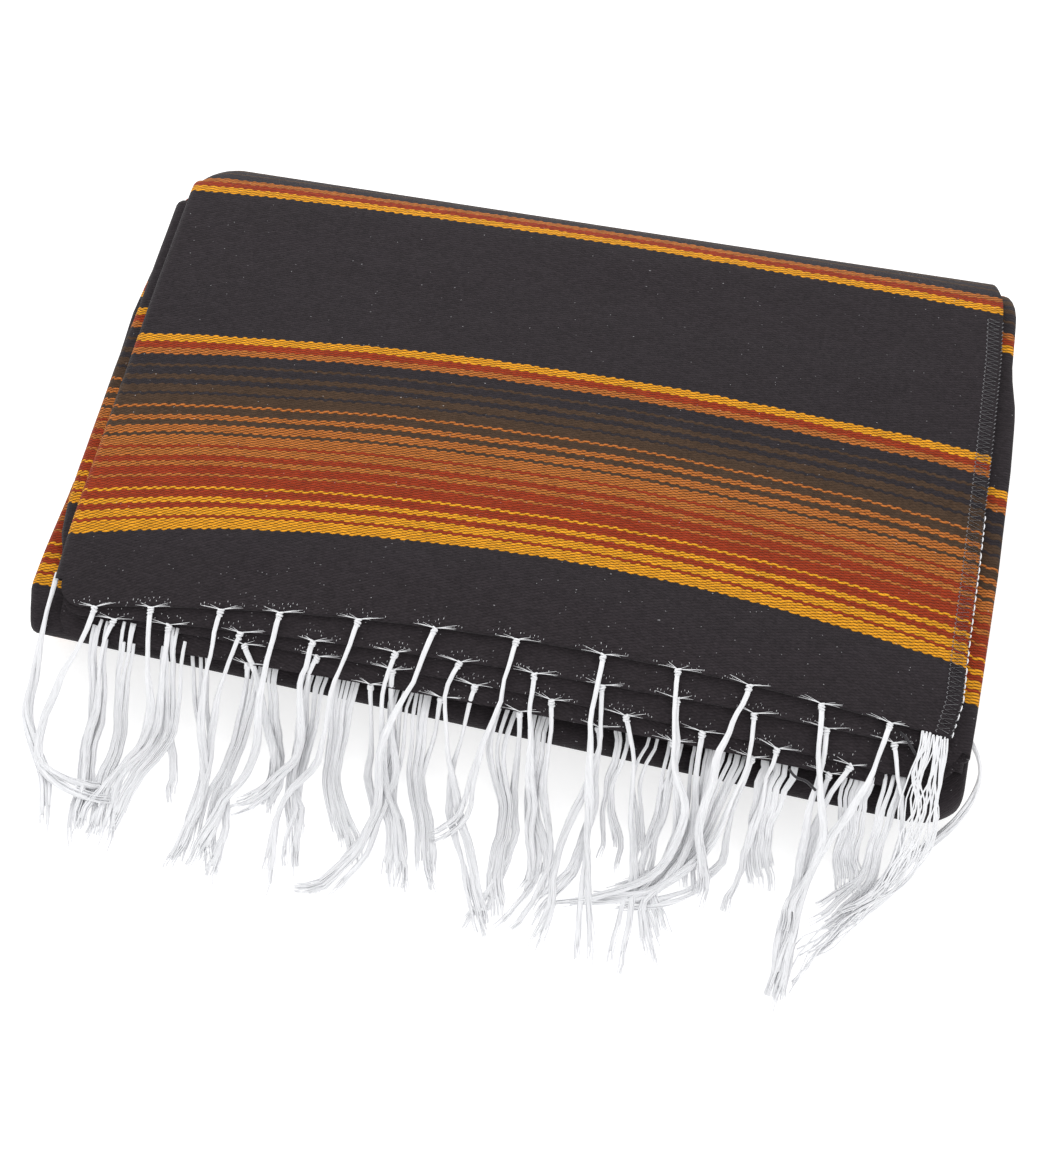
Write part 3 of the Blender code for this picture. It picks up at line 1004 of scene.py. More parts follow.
# How the fringe falls from its shoulder to the floor: share of the run, share of the drop
LOW_FALL = ((0.0, 1.0), (0.063, 0.74), (0.097, 0.52), (0.154, 0.25), (0.246, 0.08),
            (0.430, 0.0), (2.0, 0.0))
HIGH_FALL = ((0.0, 1.0), (0.100, 0.80), (0.163, 0.62), (0.231, 0.38), (0.306, 0.17),
             (0.415, 0.05), (0.565, 0.0), (2.0, 0.0))
LOW_RUN = 0.0875
HIGH_RUN = 0.0705


def ply_ends(level):
    """How far a ply under the top one reaches to the left and to the right."""
    return (BASE_HALF, 0.196) if level == 4 else (INNER_LEFT, 0.2005)


def ply_terrain(x, depth, level):
    """Height of what lies below a tassel of one level, on the stack."""
    for k in range(level + 1, len(EDGES)):
        left, right = ply_ends(k)
        if -left <= x <= right and depth >= edge_depth(k, x, left):
            return top_height(x, depth) - k * PITCH
    ahead = min(depth - FRONT_FOLD_DEPTH, 0.0)
    if abs(x) < FOLD_HALF and ahead > -FRONT_FOLD_RADIUS:
        return FRONT_FOLD_HEIGHT + math.sqrt(FRONT_FOLD_RADIUS ** 2 - ahead ** 2)
    return 0.0


def fall_height(x, depth, level, lift):
    """Height of a tassel's middle."""
    high = 1.0 - min(level, 3) / 3.0
    shoulder = mix(FRONT_CLEAR, HIGH_SHOULDER, high)
    top = mix(LOW_SHOULDER_HEIGHT, top_height(x, HIGH_SHOULDER) + 0.0012, high)
    if depth > shoulder:
        start = edge_depth(min(level, 4), x, BASE_HALF)
        base = top_height(x, start) - level * PITCH + 0.0009
        if level >= 4:
            start = max(start, 0.0)
            base = HIDDEN_HEIGHT
        share = smooth((start - depth) / max(start - shoulder, 0.004))
        line = mix(base, top, share)
        return max(line, ply_terrain(x, depth, level) + TASSEL_HALF)
    low = table_value(LOW_FALL, (shoulder - depth) / LOW_RUN)
    far = table_value(HIGH_FALL, (shoulder - depth) / HIGH_RUN)
    return lift + (top - lift) * mix(low, far, high)


def curve_through(points, count):
    """Points at even spacing on a smooth curve through plan points."""
    padded = [points[0]] + list(points) + [points[-1]]
    dense = []
    for i in range(1, len(padded) - 2):
        p0, p1, p2, p3 = padded[i - 1:i + 3]
        for k in range(12):
            t = k / 12
            dense.append(tuple(
                0.5 * (2 * b + (c - a) * t + (2 * a - 5 * b + 4 * c - d) * t * t
                       + (3 * b - a - 3 * c + d) * t ** 3)
                for a, b, c, d in zip(p0, p1, p2, p3)))
    dense.append(tuple(points[-1]))
    return resample([Vector((*place, 0.0)[:3]) for place in dense], count)


def resample(points, count):
    """The same line with evenly spaced points."""
    lengths = [0.0]
    for a, b in zip(points, points[1:]):
        lengths.append(lengths[-1] + (b - a).length)
    result = []
    k = 0
    for i in range(count):
        target = lengths[-1] * i / (count - 1)
        while k < len(points) - 2 and lengths[k + 1] < target:
            k += 1
        span = max(lengths[k + 1] - lengths[k], 1e-9)
        result.append(points[k].lerp(points[k + 1], min(1.0, (target - lengths[k]) / span)))
    return result


# Waviness of a tassel: size, share of the length over which it grows, waves, place in the noise
TASSEL_WAVES = ((0.0042, 0.3, 3.2, 0.0), (0.0013, 0.2, 9.0, 4.0))


def tassel_path(level, plan, lift, count=26):
    """A tassel's middle line in space, from the cloth to its tip."""
    flat = curve_through(plan, 90)
    own = plan[0][0] * 90 + level * 7.0
    for i, p in enumerate(flat):
        t = i / (len(flat) - 1)
        for size, grown, waves, place in TASSEL_WAVES:
            p.x += size * smooth(t / grown) * noise.noise(Vector((own, t * waves, place)))
    heights = [fall_height(p.x, p.y, level, lift) for p in flat]
    for _ in range(5):
        middle = [(a + 2 * b + c) / 4
                  for a, b, c in zip(heights, heights[1:], heights[2:])]
        heights = [heights[0]] + middle + [heights[-1]]
    return resample([Vector((p.x, p.y, h)) for p, h in zip(flat, heights)], count)


FREE = 9                       # level of a tassel that hangs clear of the stack


def settle(point, radius, level):
    """Keep a strand's point above the floor and in front of the folds."""
    depth = point.y
    if level == FREE:
        return world(point.x, depth, max(point.z, radius))
    if depth > FRONT_CLEAR - 0.0005:
        ground = ply_terrain(point.x, depth, level) + radius
        if point.z < 0.0345 and depth < FRONT_FOLD_DEPTH:
            depth = FRONT_CLEAR - radius
            ground = radius
    else:
        ground = radius
    return world(point.x, depth, max(point.z, ground))


CORE_RADIUS = 0.00074          # of a yarn, inside its fine strands
STRAND_RADIUS = 0.00033
YARN_START = 0.00042           # from the core to its strands, at the knot and near the tip
YARN_END = 0.00090


@dataclass
class Bundle:
    """The yarns of one tassel, or of one flat bundle of a hidden end."""
    yarns: int
    strands: int               # round the core of each yarn
    width: float
    spread: float              # how far the yarns part towards their tips
    start_width: float
    split_at: float = 0.5      # share of the length from which they part
    flat: bool = False

    def draw(self, rnd):
        """What this bundle has of its own, and then each of its yarns."""
        order = list(range(self.yarns))
        rnd.shuffle(order)
        self.turn = rnd.choice((-1.0, 1.0)) * rnd.uniform(4.0, 8.0)
        if self.flat:
            self.wind = rnd.uniform(1.0, 3.0)
        else:
            self.wind = rnd.choice((-1.0, 1.0)) * rnd.uniform(7.0, 12.0)
        for number, target in enumerate(order):
            yield Yarn(self, rnd, number, target)

    def opened(self, t):
        """How far the yarns have parted, from 0 to 1."""
        return smooth((t - self.split_at) / (1.0 - self.split_at))


class Yarn:
    """One yarn of a bundle."""

    def __init__(self, bundle, rnd, number, target):
        flat = bundle.flat
        jitter = rnd.uniform(-0.45, 0.45) if flat else 0.0
        self.bundle = bundle
        self.number = number
        self.place = 2 * (number + 0.5 + jitter) / bundle.yarns - 1
        self.aim = self.place if flat else 2 * (target + 0.5) / bundle.yarns - 1
        self.fat = rnd.uniform(0.8, 1.25)
        self.slack = rnd.uniform(0.0, 0.0022) if flat else 0.0
        self.begin = rnd.choice((0, 0, 1, 2)) if flat else 0
        self.cut = rnd.uniform(0.80 if flat else 0.94, 1.0)
        self.sway = rnd.uniform(-1.0, 1.0)

    def middle(self, t):
        """Where the yarn lies beside its bundle's path: how far across and how far up."""
        bundle = self.bundle
        opened = bundle.opened(t)
        if bundle.flat:
            across = self.place * mix(bundle.start_width, bundle.width, smooth(t / 0.6)) / 2
            across += 0.0012 * self.sway * math.sin(5.0 * t + 2.0 * self.number)
            up = self.slack * math.sin(math.pi * min(1.0, 1.4 * t))
        else:
            held = smooth(t / 0.45)
            wound = 2 * math.pi * self.number / bundle.yarns + bundle.turn * t
            across = mix(self.place * bundle.start_width / 2,
                         bundle.width * 0.26 * math.cos(wound), held)
            up = bundle.width * 0.18 * math.sin(wound) * held
        across += self.aim * bundle.spread * opened
        across += 0.3 * bundle.spread * self.sway * opened * math.sin(t * 6.0 + self.number)
        return across, up

    def strand(self, t, angle, own):
        """The same for one of its strands, which strays by its own amount near the tip."""
        across, up = self.middle(t)
        ring = self.fat * mix(YARN_START, YARN_END, smooth(t / 0.6))
        ring *= 1.0 + 0.22 * own * self.bundle.opened(t)
        wound = angle + self.bundle.wind * t
        across += ring * math.cos(wound)
        across += own * 0.0009 * smooth((t - 0.55) / 0.45) ** 1.5
        return across, up + ring * 0.75 * math.sin(wound)


def path_frames(path):
    """The points of a path, each with the two directions across it."""
    frames = []
    side = Vector((1.0, 0.0, 0.0))
    for i, point in enumerate(path):
        ahead = (path[min(i + 1, len(path) - 1)] - path[max(i - 1, 0)]).normalized()
        side = (side - ahead * side.dot(ahead)).normalized()
        frames.append((point, side.copy(), ahead.cross(side)))
    return frames


def add_bundle(strands, path, level, bundle):
    """All yarns of a bundle along its path: fine strands, each group round its core."""
    rnd = strands.random
    frames = path_frames(path)
    end = len(path) - 1

    def beside(i, place, radius):
        point, a, b = frames[i]
        return settle(point + a * place[0] + b * place[1], radius, level)

    for yarn in bundle.draw(rnd):
        for s in range(bundle.strands):
            angle = 2 * math.pi * (s + rnd.uniform(-0.2, 0.2)) / bundle.strands
            own = rnd.uniform(-1.0, 1.0)
            last = max(6, int(round(end * min(1.0, yarn.cut * rnd.uniform(0.97, 1.0)))))
            points = []
            radii = []
            for i in range(yarn.begin, last + 1):
                radii.append(STRAND_RADIUS * (1.0 - 0.2 * i / end))
                points.append(beside(i, yarn.strand(i / end, angle, own), radii[-1]))
            radii[0] *= 0.8
            radii[-1] *= 0.5
            strands.tube(points, radii, 5)
        core_radius = CORE_RADIUS * (0.75 if bundle.flat else 1.0)
        inner = [i for i in range(yarn.begin, end + 1) if i / end < yarn.cut * 0.94]
        points = [beside(i, yarn.middle(i / end), core_radius) for i in inner]
        thick = [core_radius * yarn.fat * mix(0.65, 1.0, smooth(3.0 * k / len(inner)))
                 for k in range(len(inner))]
        strands.tube(points, thick, 7)


KNOT_RADIUS = 0.00110
KNOT_STRAND = 0.00052
KNOT_PITCH = 0.0010            # from one of its three windings to the next


def add_knot(strands, path):
    """A small knot of wound strands at the head of a tassel."""
    rnd = strands.random
    ahead = (path[2] - path[0]).normalized()
    side = Vector((1.0, 0.0, 0.0))
    side = (side - ahead * side.dot(ahead)).normalized()
    up = ahead.cross(side)
    for k in range(3):
        centre = path[0] + ahead * (0.0002 + KNOT_PITCH * k)
        tilt = rnd.uniform(-0.5, 0.5)
        wide = KNOT_RADIUS * rnd.uniform(0.9, 1.15) * (1.0 if k == 1 else 0.85)
        ring = []
        for angle in steps(0.0, 2 * math.pi, 12)[:-1]:
            spot = centre + side * wide * math.cos(angle)
            spot += up * wide * 0.75 * math.sin(angle)
            spot += ahead * tilt * 0.001 * math.cos(angle)
            ring.append(world(*spot))
        strands.tube(ring, [KNOT_STRAND] * len(ring), 5, closed=True)


WHISKERS = 8                   # at each knot
WHISKER_REACH = 0.0105
DOTS = 22                      # places for dots at each knot, of which some stay empty


def add_whiskers(strands, x, level):
    """Warps that run along the cloth's edge into a knot."""
    rnd = strands.random
    for k in range(WHISKERS):
        far = (1 if k % 2 else -1) * rnd.uniform(0.35, 1.0) * WHISKER_REACH
        back = rnd.uniform(-0.0002, 0.0024)
        points = []
        for t in steps(0.0, 1.0, 6):
            px = x + far * (1.0 - t)
            line = edge_depth(level, px)
            depth = line + back * (1.0 - t) ** 1.5 - 0.0008 * t
            lift = 0.0003 + 0.0006 * t + 0.0005 * math.sin(math.pi * t)
            points.append(world(px, depth, top_height(px, line) - level * PITCH + lift))
        strands.tube(points, [mix(0.00005, 0.00015, t) for t in steps(0.0, 1.0, 6)], 4)


def add_dots(strands, x, level):
    """Dots where the warps leave the cloth, in two arcs behind a knot."""
    rnd = strands.random
    for k in range(DOTS):
        px = x + WARP / 2 * (k - DOTS // 2) + rnd.uniform(-0.0004, 0.0004)
        if rnd.random() < 0.45:
            continue
        arc = (0.0038 if k % 2 else 0.0022) * (1.0 - 0.7 * ((px - x) / 0.012) ** 2)
        depth = edge_depth(level, px) + arc + rnd.uniform(-0.0006, 0.0006)
        height = top_height(px, depth) - level * PITCH
        size = rnd.uniform(0.00005, 0.00013)
        points = [world(px, depth + step, height + rise)
                  for step, rise in ((0.0005, -0.0001), (0.0, 0.00008), (-0.0005, -0.0001))]
        strands.tube(points, [size * 0.4, size, size * 0.4], 5)


# Tassels in millimetres, as they lie in the photograph: place of the knot along the edge,
# then places on the floor across and in depth down to the tip

TOP_TASSELS = (
    (-169, (-172, -16), (-184, -36), (-187, -52), (-176, -65), (-158, -69), (-143, -66)),
    (-145, (-143, -16), (-140, -34), (-149, -58), (-158, -90)),
    (-115, (-116, -18), (-116, -38), (-111, -62), (-117, -94)),
    (-90, (-92, -18), (-94, -42), (-101, -60), (-108, -96)),
    (-57, (-61, -16), (-66, -34), (-76, -54), (-74, -96)),
    (-25, (-31, -12), (-39, -30), (-37, -58), (-48, -84), (-66, -92)),
    (9, (6, -12), (2, -32), (-4, -48), (-16, -58)),
    (45, (47, -14), (52, -38), (56, -62), (64, -98)),
    (76, (80, -14), (92, -30), (84, -50), (60, -66), (40, -74)),
    (106, (101, -14), (98, -30), (104, -48), (102, -60)),
    (136, (142, -14), (148, -30), (143, -56), (141, -96)),
    (165, (158, -14), (150, -26), (145, -48), (140, -66)),
)
SECOND_TASSELS = (
    (-160, (-163, -16), (-165, -40), (-162, -66), (-156, -90)),
    (-136, (-136, -16), (-138, -34), (-147, -58), (-148, -90)),
    (-105, (-108, -14), (-114, -30), (-110, -58), (-112, -92)),
    (-74, (-77, -16), (-78, -36), (-84, -50), (-98, -62)),
    (-39, (-41, -14), (-36, -36), (-26, -54), (-19, -84)),
    (-12, (-17, -12), (-12, -24), (1, -46), (14, -74), (24, -96)),
    (19, (21, -12), (25, -32), (33, -56), (30, -72)),
    (47, (49, -12), (47, -34), (43, -58), (41, -98)),
    (78, (82, -14), (90, -30), (82, -52), (64, -66)),
    (110, (111, -12), (106, -28), (92, -48), (82, -66), (92, -92)),
    (140, (142, -12), (142, -34), (142, -62), (143, -88)),
    (168, (176, -10), (180, -24), (172, -40), (160, -52)),
)
THIRD_TASSELS = (
    (-103, (-96, -16), (-86, -34), (-84, -60)),
    (-71, (-74, -14), (-76, -40), (-70, -58), (-66, -84)),
    (-39, (-38, -14), (-33, -40), (-40, -66), (-50, -92)),
    (-4, (-6, -14), (-9, -30), (2, -54), (19, -94)),
    (28, (30, -14), (33, -38), (38, -60), (26, -88)),
    (59, (65, -14), (71, -30), (74, -52), (77, -100)),
    (91, (92, -14), (96, -34), (84, -56), (52, -68)),
    (122, (121, -14), (119, -36), (114, -62)),
    (153, (147, -14), (142, -34), (139, -62), (140, -94)),
)
FOURTH_TASSELS = (
    (-100, (-101, -16), (-104, -40), (-98, -70), (-98, -96)),
    (-47, (-47, -14), (-44, -36), (-40, -60), (-56, -92)),
    (-17, (-18, -14), (-19, -36), (-10, -60), (-5, -76)),
    (16, (17, -14), (20, -34), (22, -50), (10, -90)),
    (49, (51, -14), (52, -36), (46, -60), (38, -82)),
    (80, (82, -14), (78, -36), (75, -60)),
    (113, (112, -14), (110, -36), (98, -54), (72, -66)),
    (145, (144, -14), (146, -34), (143, -66), (144, -92)),
)
# Bundles of the hidden ends: place and width where they come out, then as above
HIDDEN_BUNDLES = (
    (-165, 9, (-166, -18), (-166, -40), (-163, -66), (-158, -92)),
    (-153, 9, (-154, -18), (-157, -38), (-154, -62), (-152, -90)),
    (-133, 10, (-134, -18), (-134, -40), (-144, -64), (-146, -96)),
    (-124, 6, (-121, -18), (-116, -42), (-112, -66), (-114, -98)),
    (-135, 5, (-133, -20), (-130, -44), (-123, -68)),
    (-98, 7, (-98, -18), (-104, -38), (-106, -60), (-99, -92)),
    (-90, 6, (-88, -18), (-86, -36), (-85, -56)),
    (-72, 10, (-73, -18), (-74, -40), (-72, -56), (-62, -84)),
    (-58, 12, (-58, -18), (-61, -36), (-52, -56), (-42, -78)),
    (-34, 9, (-34, -18), (-33, -40), (-26, -58), (-20, -86)),
    (-25, 8, (-25, -18), (-22, -40), (-12, -62), (-4, -80)),
    (10, 10, (10, -18), (14, -34), (18, -54), (24, -86)),
    (24, 9, (24, -16), (28, -36), (36, -58), (34, -76)),
    (58, 7, (58, -16), (61, -36), (65, -54)),
    (72, 4, (72, -16), (74, -36), (76, -56)),
    (82, 7, (82, -16), (80, -34), (84, -56), (98, -82)),
    (95, 12, (94, -16), (94, -34), (100, -52), (104, -60)),
    (104, 12, (102, -16), (98, -30), (88, -48), (64, -62)),
    (124, 16, (123, -16), (125, -34), (129, -52)),
    (158, 13, (156, -16), (160, -30), (166, -44)),
    (172, 10, (170, -16), (168, -32), (160, -48), (150, -56)),
)
# Tassels at the side corners: place across, depth and height
RIGHT_TASSEL = ((200, 27, 36), (205.2, 20.5, 33), (207.6, 15, 27), (207.5, 10, 15),
                (203, 2, 4), (194, -10, 2.2), (178, -30, 2.2), (164, -48, 2.2))
LEFT_TASSEL = ((-190.5, 10, 46), (-191.5, 2, 41), (-192, -6, 37.5), (-193, -14, 30),
               (-196.5, -24, 12), (-197, -38, 3), (-189, -52, 2.2), (-180, -64, 2.2),
               (-175, -78, 2.2), (-171, -90, 2.2))


def to_metres(pairs):
    """Millimetre pairs as metre pairs."""
    return [(x / 1000, depth / 1000) for x, depth in pairs]


def build_tassels(name, level, table, seed, material, lift):
    """One row of knotted tassels along a ply's fringed edge."""
    strands = Strands(name, seed)
    rnd = strands.random
    for knot, *floor in table:
        x = knot / 1000
        plan = [(x, edge_depth(level, x) - 0.0008)] + to_metres(floor)
        path = tassel_path(level, plan, lift * rnd.uniform(0.8, 1.2))
        bundle = Bundle(yarns=rnd.choice((2, 2, 3)), strands=8, width=0.0033,
                        spread=rnd.uniform(0.0015, 0.0045), start_width=0.0012,
                        split_at=rnd.uniform(0.40, 0.60))
        add_bundle(strands, path, level, bundle)
        add_knot(strands, path)
        add_whiskers(strands, x, level)
        add_dots(strands, x, level)
    return strands.finish(material)


HIGH_BUNDLES_LEFT_OF = -130    # those further left come out higher, under the second ply
YARN_WIDTH = 1.6               # millimetres of a bundle's width that one yarn takes


def build_hidden_bundles(material):
    """Flat bundles of parallel strands that come out under the plies."""
    strands = Strands("fringe_under", 51)
    rnd = strands.random
    for place, width, *floor in HIDDEN_BUNDLES:
        x = place / 1000
        wide = width / 1000
        level = 2 if place < HIGH_BUNDLES_LEFT_OF else 4
        start = edge_depth(1, x) - 0.0005 if level == 2 else 0.004
        plan = [(x, start), (x, -0.006)] + to_metres(floor)
        path = tassel_path(level, plan, rnd.uniform(0.0012, 0.0026))
        bundle = Bundle(yarns=max(2, int(width / YARN_WIDTH)), strands=6,
                        width=max(0.003, wide * 0.6), spread=rnd.uniform(0.0005, 0.003),
                        start_width=wide, flat=True)
        add_bundle(strands, path, level, bundle)
    return strands.finish(material)


def build_side_tassels(material):
    """The tassels of the second leaf that hang at the left and right corners."""
    strands = Strands("fringe_sides", 77)
    bundle = Bundle(yarns=3, strands=6, width=0.0052, spread=0.002, start_width=0.0012)
    for plan in (LEFT_TASSEL, RIGHT_TASSEL):
        path = curve_through([[value / 1000 for value in place] for place in plan], 30)
        add_bundle(strands, path, FREE, bundle)
    return strands.finish(material)


LOOSE_WARPS = 26
LOOSE_FROM = 0.1785
LOOSE_TO = 0.1885
LOOSE_SPLIT = 0.45             # share of them that gathers at the left place
LOOSE_GATHER = (0.1800, 0.1870)
# Their last places on the floor: across, depth, share of the sideways drift
LOOSE_TIPS = ((0.168, -0.048, 1.0), (0.152, -0.066, 1.5), (0.146, -0.084, 1.5))


def build_loose_warps(material):
    """Warps at the right corner that are in no knot."""
    strands = Strands("fringe_loose", 91)
    rnd = strands.random
    for k in range(LOOSE_WARPS):
        gather = LOOSE_GATHER[k >= LOOSE_WARPS * LOOSE_SPLIT]
        x = mix(LOOSE_FROM, LOOSE_TO, k / (LOOSE_WARPS - 1)) + rnd.uniform(-0.0004, 0.0004)
        drift = rnd.uniform(-0.0030, 0.0030)
        plan = [(x, edge_depth(0, x) + rnd.uniform(-0.0012, 0.0004)),
                (mix(x, gather, 0.4) + drift * 0.5, 0.006),
                (gather + drift * 1.2, -0.006),
                (gather - 0.001 + drift * 1.5, -0.018),
                (mix(gather, 0.178, 0.6) + drift, -0.032)]
        for across, depth, share in LOOSE_TIPS:
            plan.append((across + drift * share, depth + rnd.uniform(-0.004, 0.004)))
        keep = rnd.choice((6, 7, 8))
        path = tassel_path(0, plan[:keep], rnd.uniform(0.001, 0.004))
        points = [settle(p + Vector((0.0005 * math.sin(i * 0.8 + k * 2.3), 0, 0)), 0.0003, 0)
                  for i, p in enumerate(path)]
        thick = rnd.uniform(0.00028, 0.00046)
        strands.tube(points, [thick] * len(points), 5)
    return strands.finish(material)


# Short ends of dark weft at the fringed edges: places across and in depth, and heights
DARK_ENDS = (
    (((0.1690, 0.0175), (0.1720, 0.0145), (0.1750, 0.0110), (0.1780, 0.0085)),
     (0.0500, 0.0525, 0.0520, 0.0495)),
    (((0.1285, -0.0085), (0.1315, -0.0120), (0.1360, -0.0125), (0.1405, -0.0145)),
     (0.0480, 0.0500, 0.0490, 0.0465)),
)
DARK_END_RADIUS = 0.0006


def build_dark_ends(material):
    """The dark ends, which stick out at the right corner."""
    strands = Strands("dark_yarn_ends", 13)
    for plan, heights in DARK_ENDS:
        rises = list(enumerate(heights))
        flat = curve_through(plan, 14)
        points = [world(p.x, p.y, table_value(rises, i / 13 * 3)) for i, p in enumerate(flat)]
        strands.tube(points, [DARK_END_RADIUS] * 14, 6)
    return strands.finish(material)


STITCH_PITCH = 0.0021
STITCH_NEAR = 0.0014           # zigzag, inward from the edge
STITCH_FAR = 0.0062
EDGE_WARP_END = 0.120          # the white edge warp shows as far back as this


def on_selvage(inset, depth, rise):
    """A point beside the top ply's right edge."""
    right = table_value(TOP_RIGHT, depth)
    height = top_height((right - inset) * TOP_HALF / right, depth)
    return world(right - inset, depth, height + rise)


def build_stitching(material):
    """The zigzag that locks the right selvage of the top ply."""
    strands = Strands("selvage_stitching", 33)
    rnd = strands.random
    start = edge_depth(0, TOP_HALF) + 0.002
    end = back_centre(TOP_HALF)
    count = int((end - start) / STITCH_PITCH)
    points = []
    for i in range(count * 2):
        depth = start + i * STITCH_PITCH / 2 + rnd.uniform(-0.0002, 0.0002)
        inset = (STITCH_FAR if i % 2 else STITCH_NEAR) + rnd.uniform(-0.0003, 0.0003)
        points.append(on_selvage(inset, depth, 0.0002))
    strands.tube(points, [0.00016] * len(points), 4)
    for i in range(count):
        depth = start + i * STITCH_PITCH
        tick = [on_selvage(STITCH_FAR + 0.0002, depth - 0.0006, 0.0001),
                on_selvage(STITCH_FAR + 0.0008, depth, 0.0003),
                on_selvage(STITCH_FAR + 0.0002, depth + 0.0006, 0.0001)]
        strands.tube(tick, [0.00015] * 3, 4)
        edge = [on_selvage(0.0004, depth - 0.0006, 0.0001),
                on_selvage(-0.0002, depth, 0.0001),
                on_selvage(-0.0001, depth + 0.0006, -0.0006)]
        strands.tube(edge, [0.00015] * 3, 4)
    return strands.finish(material)


def build_edge_warp(material):
    """Short lengths of the white outermost warp that show along the right edge."""
    strands = Strands("selvage_warp", 35)
    rnd = strands.random
    depth = edge_depth(0, TOP_HALF) + 0.001
    while depth < EDGE_WARP_END:
        length = rnd.uniform(0.0010, 0.0034)
        points = [on_selvage(-0.0002, depth, -0.0004),
                  on_selvage(-0.0004, depth + length * 0.3, 0.0001),
                  on_selvage(-0.0004, depth + length * 0.7, 0.0001),
                  on_selvage(-0.0002, depth + length, -0.0004)]
        strands.tube(points, [0.00028] * 4, 5)
        depth += length + rnd.uniform(0.0006, 0.0020)
    return strands.finish(material)


# Scene

FLOOR_HALF = 3.0
FLOOR_DROP = 0.0002            # just under the blanket
FLOOR_GLOW = 0.68              # the photograph's ground is pure white
WHITE = (1.0, 1.0, 1.0, 1.0)


def build_floor():
    """A plain white floor."""
    corners = [(x * FLOOR_HALF, y * FLOOR_HALF, -FLOOR_DROP)
               for x, y in ((-1, -1), (1, -1), (1, 1), (-1, 1))]
    mesh = bpy.data.meshes.new("studio_floor")
    mesh.from_pydata(corners, [], [(0, 1, 2, 3)])
    n = Nodes("studio_floor")
    place = n.output(n.node("ShaderNodeTexCoord"), "Object")
    shade = n.map_range(n.noise(place, 3.0), 0.0, 1.0, 0.60, 0.62)
    n.surface(n.scale_colour(WHITE[:3], shade), Roughness=0.9,
              Emission_Color=WHITE, Emission_Strength=FLOOR_GLOW)
    link("studio_floor", mesh, n.material)


# Soft lights: name, place, what it aims at, width and height, power
LIGHTS = (
    ("key", (-0.35, 0.80, 0.85), (0.0, 0.0, 0.0), (1.0, 1.0), 8.0),
    ("fill", (0.9, -0.9, 1.4), (0.0, 0.0, 0.0), (1.4, 1.4), 3.3),
    ("front", (0.2, -1.3, 0.45), (0.0, -0.06, 0.0), (1.2, 0.5), 2.2),
)
SURROUND = 0.87


def build_light():
    """White surroundings and three soft lights."""
    surround = bpy.data.worlds.new("studio")
    surround.use_nodes = True
    background = surround.node_tree.nodes["Background"]
    background.inputs["Color"].default_value = WHITE
    background.inputs["Strength"].default_value = SURROUND
    bpy.context.scene.world = surround
    for name, place, aim, size, power in LIGHTS:
        lamp = bpy.data.lights.new(name, "AREA")
        lamp.shape = "RECTANGLE"
        lamp.size, lamp.size_y = size
        lamp.energy = power
        item = link(name, lamp)
        item.location = place
        item.rotation_euler = (Vector(aim) - item.location).to_track_quat("-Z", "Y").to_euler()
    bpy.context.scene.view_settings.view_transform = "Standard"


CAMERA_PLACE = (0.0866, -0.4110, 0.8261)
CAMERA_DOWN = math.radians(63.35)
CAMERA_TURN = math.radians(12.21)
CAMERA_ROLL = math.radians(0.88)
CAMERA_LENS = 62.79


def build_camera():
    """The camera at the photograph's angle and distance."""
    forward = Vector((-math.sin(CAMERA_TURN), math.cos(CAMERA_TURN), 0.0))
    right = Vector((math.cos(CAMERA_TURN), math.sin(CAMERA_TURN), 0.0))
    up_axis = Vector((0.0, 0.0, 1.0))
    look = forward * math.cos(CAMERA_DOWN) - up_axis * math.sin(CAMERA_DOWN)
    over = forward * math.sin(CAMERA_DOWN) + up_axis * math.cos(CAMERA_DOWN)
    x_axis = right * math.cos(CAMERA_ROLL) + over * math.sin(CAMERA_ROLL)
    y_axis = over * math.cos(CAMERA_ROLL) - right * math.sin(CAMERA_ROLL)
    lens = bpy.data.cameras.new("camera")
    lens.lens = CAMERA_LENS
    lens.sensor_width = 36.0
    lens.sensor_fit = "AUTO"
    lens.clip_start = 0.01
    camera = link("camera", lens)
    turn = Matrix((x_axis, y_axis, -look)).transposed().to_4x4()
    camera.matrix_world = Matrix.Translation(CAMERA_PLACE) @ turn
    bpy.context.scene.camera = camera


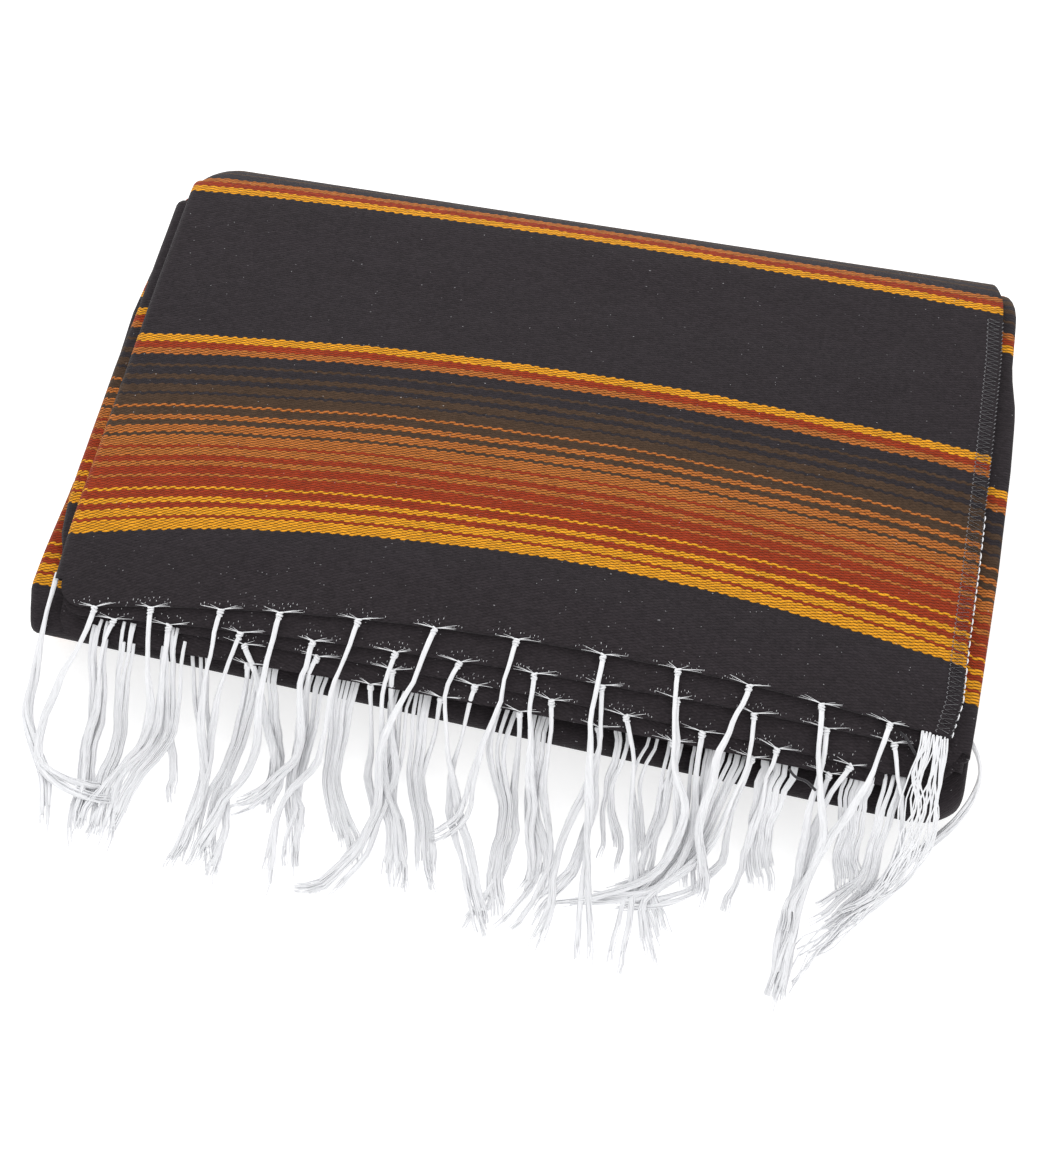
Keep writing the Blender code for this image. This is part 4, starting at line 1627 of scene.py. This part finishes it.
def dress(piece, slot, *nodes):
    """A piece of the blanket: it rides on the one body and replaces its plain solids."""
    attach(piece, "root")
    if nodes:
        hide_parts(*nodes)


def main():
    build_camera()
    build_floor()
    build_light()

    cloth = cloth_material("striped_cloth_weave")
    inner = cloth_material("inner_cloth_weave")
    yarn = yarn_material("fringe_yarn_white", YARN)
    thread = yarn_material("stitching_thread", THREAD)
    dark_yarn = yarn_material("dark_weft_yarn", DARK_WEFT)

    top = build_top_cloth()
    second = build_second_cloth()
    pair = build_folded_pair()
    leaf = build_second_leaf()
    fold = build_front_fold()
    left = build_edges("left_leaf_edges", -1, LEFT_SECTION, (4, 14), LEFT_REACH)
    right = build_edges("right_leaf_edges", 1, RIGHT_SECTION, (1, 15), RIGHT_REACH)
    for piece in (top, second, pair, leaf, fold):
        piece.data.materials.append(cloth)
    for piece in (left, right):
        piece.data.materials.append(inner)

    fringes = [
        build_tassels("fringe_top", 0, TOP_TASSELS, 11, yarn, 0.0050),
        build_tassels("fringe_second", 1, SECOND_TASSELS, 22, yarn, 0.0036),
        build_tassels("fringe_third", 2, THIRD_TASSELS, 33, yarn, 0.0026),
        build_tassels("fringe_fourth", 3, FOURTH_TASSELS, 44, yarn, 0.0020),
        build_hidden_bundles(yarn),
        build_side_tassels(yarn),
        build_loose_warps(yarn),
    ]
    ends = build_dark_ends(dark_yarn)
    stitches = build_stitching(thread)
    edge_warp = build_edge_warp(yarn)

    dress(top, "striped_cloth", "outer_ply")
    dress(second, "striped_cloth", "second_ply")
    dress(pair, "striped_cloth", "third_ply", "fourth_ply")
    dress(leaf, "striped_cloth", "second_leaf")
    dress(fold, "striped_cloth", "front_fold")
    dress(left, "inner_cloth", "folded_core")
    dress(right, "inner_cloth", "folded_core")
    dress(fringes[0], "fringe_yarn", "upper_fringe")
    dress(fringes[1], "fringe_yarn", "upper_fringe")
    for piece in fringes[2:]:
        dress(piece, "fringe_yarn", "lower_fringe")
    dress(ends, "striped_cloth")
    dress(stitches, "striped_cloth")
    dress(edge_warp, "fringe_yarn")


main()
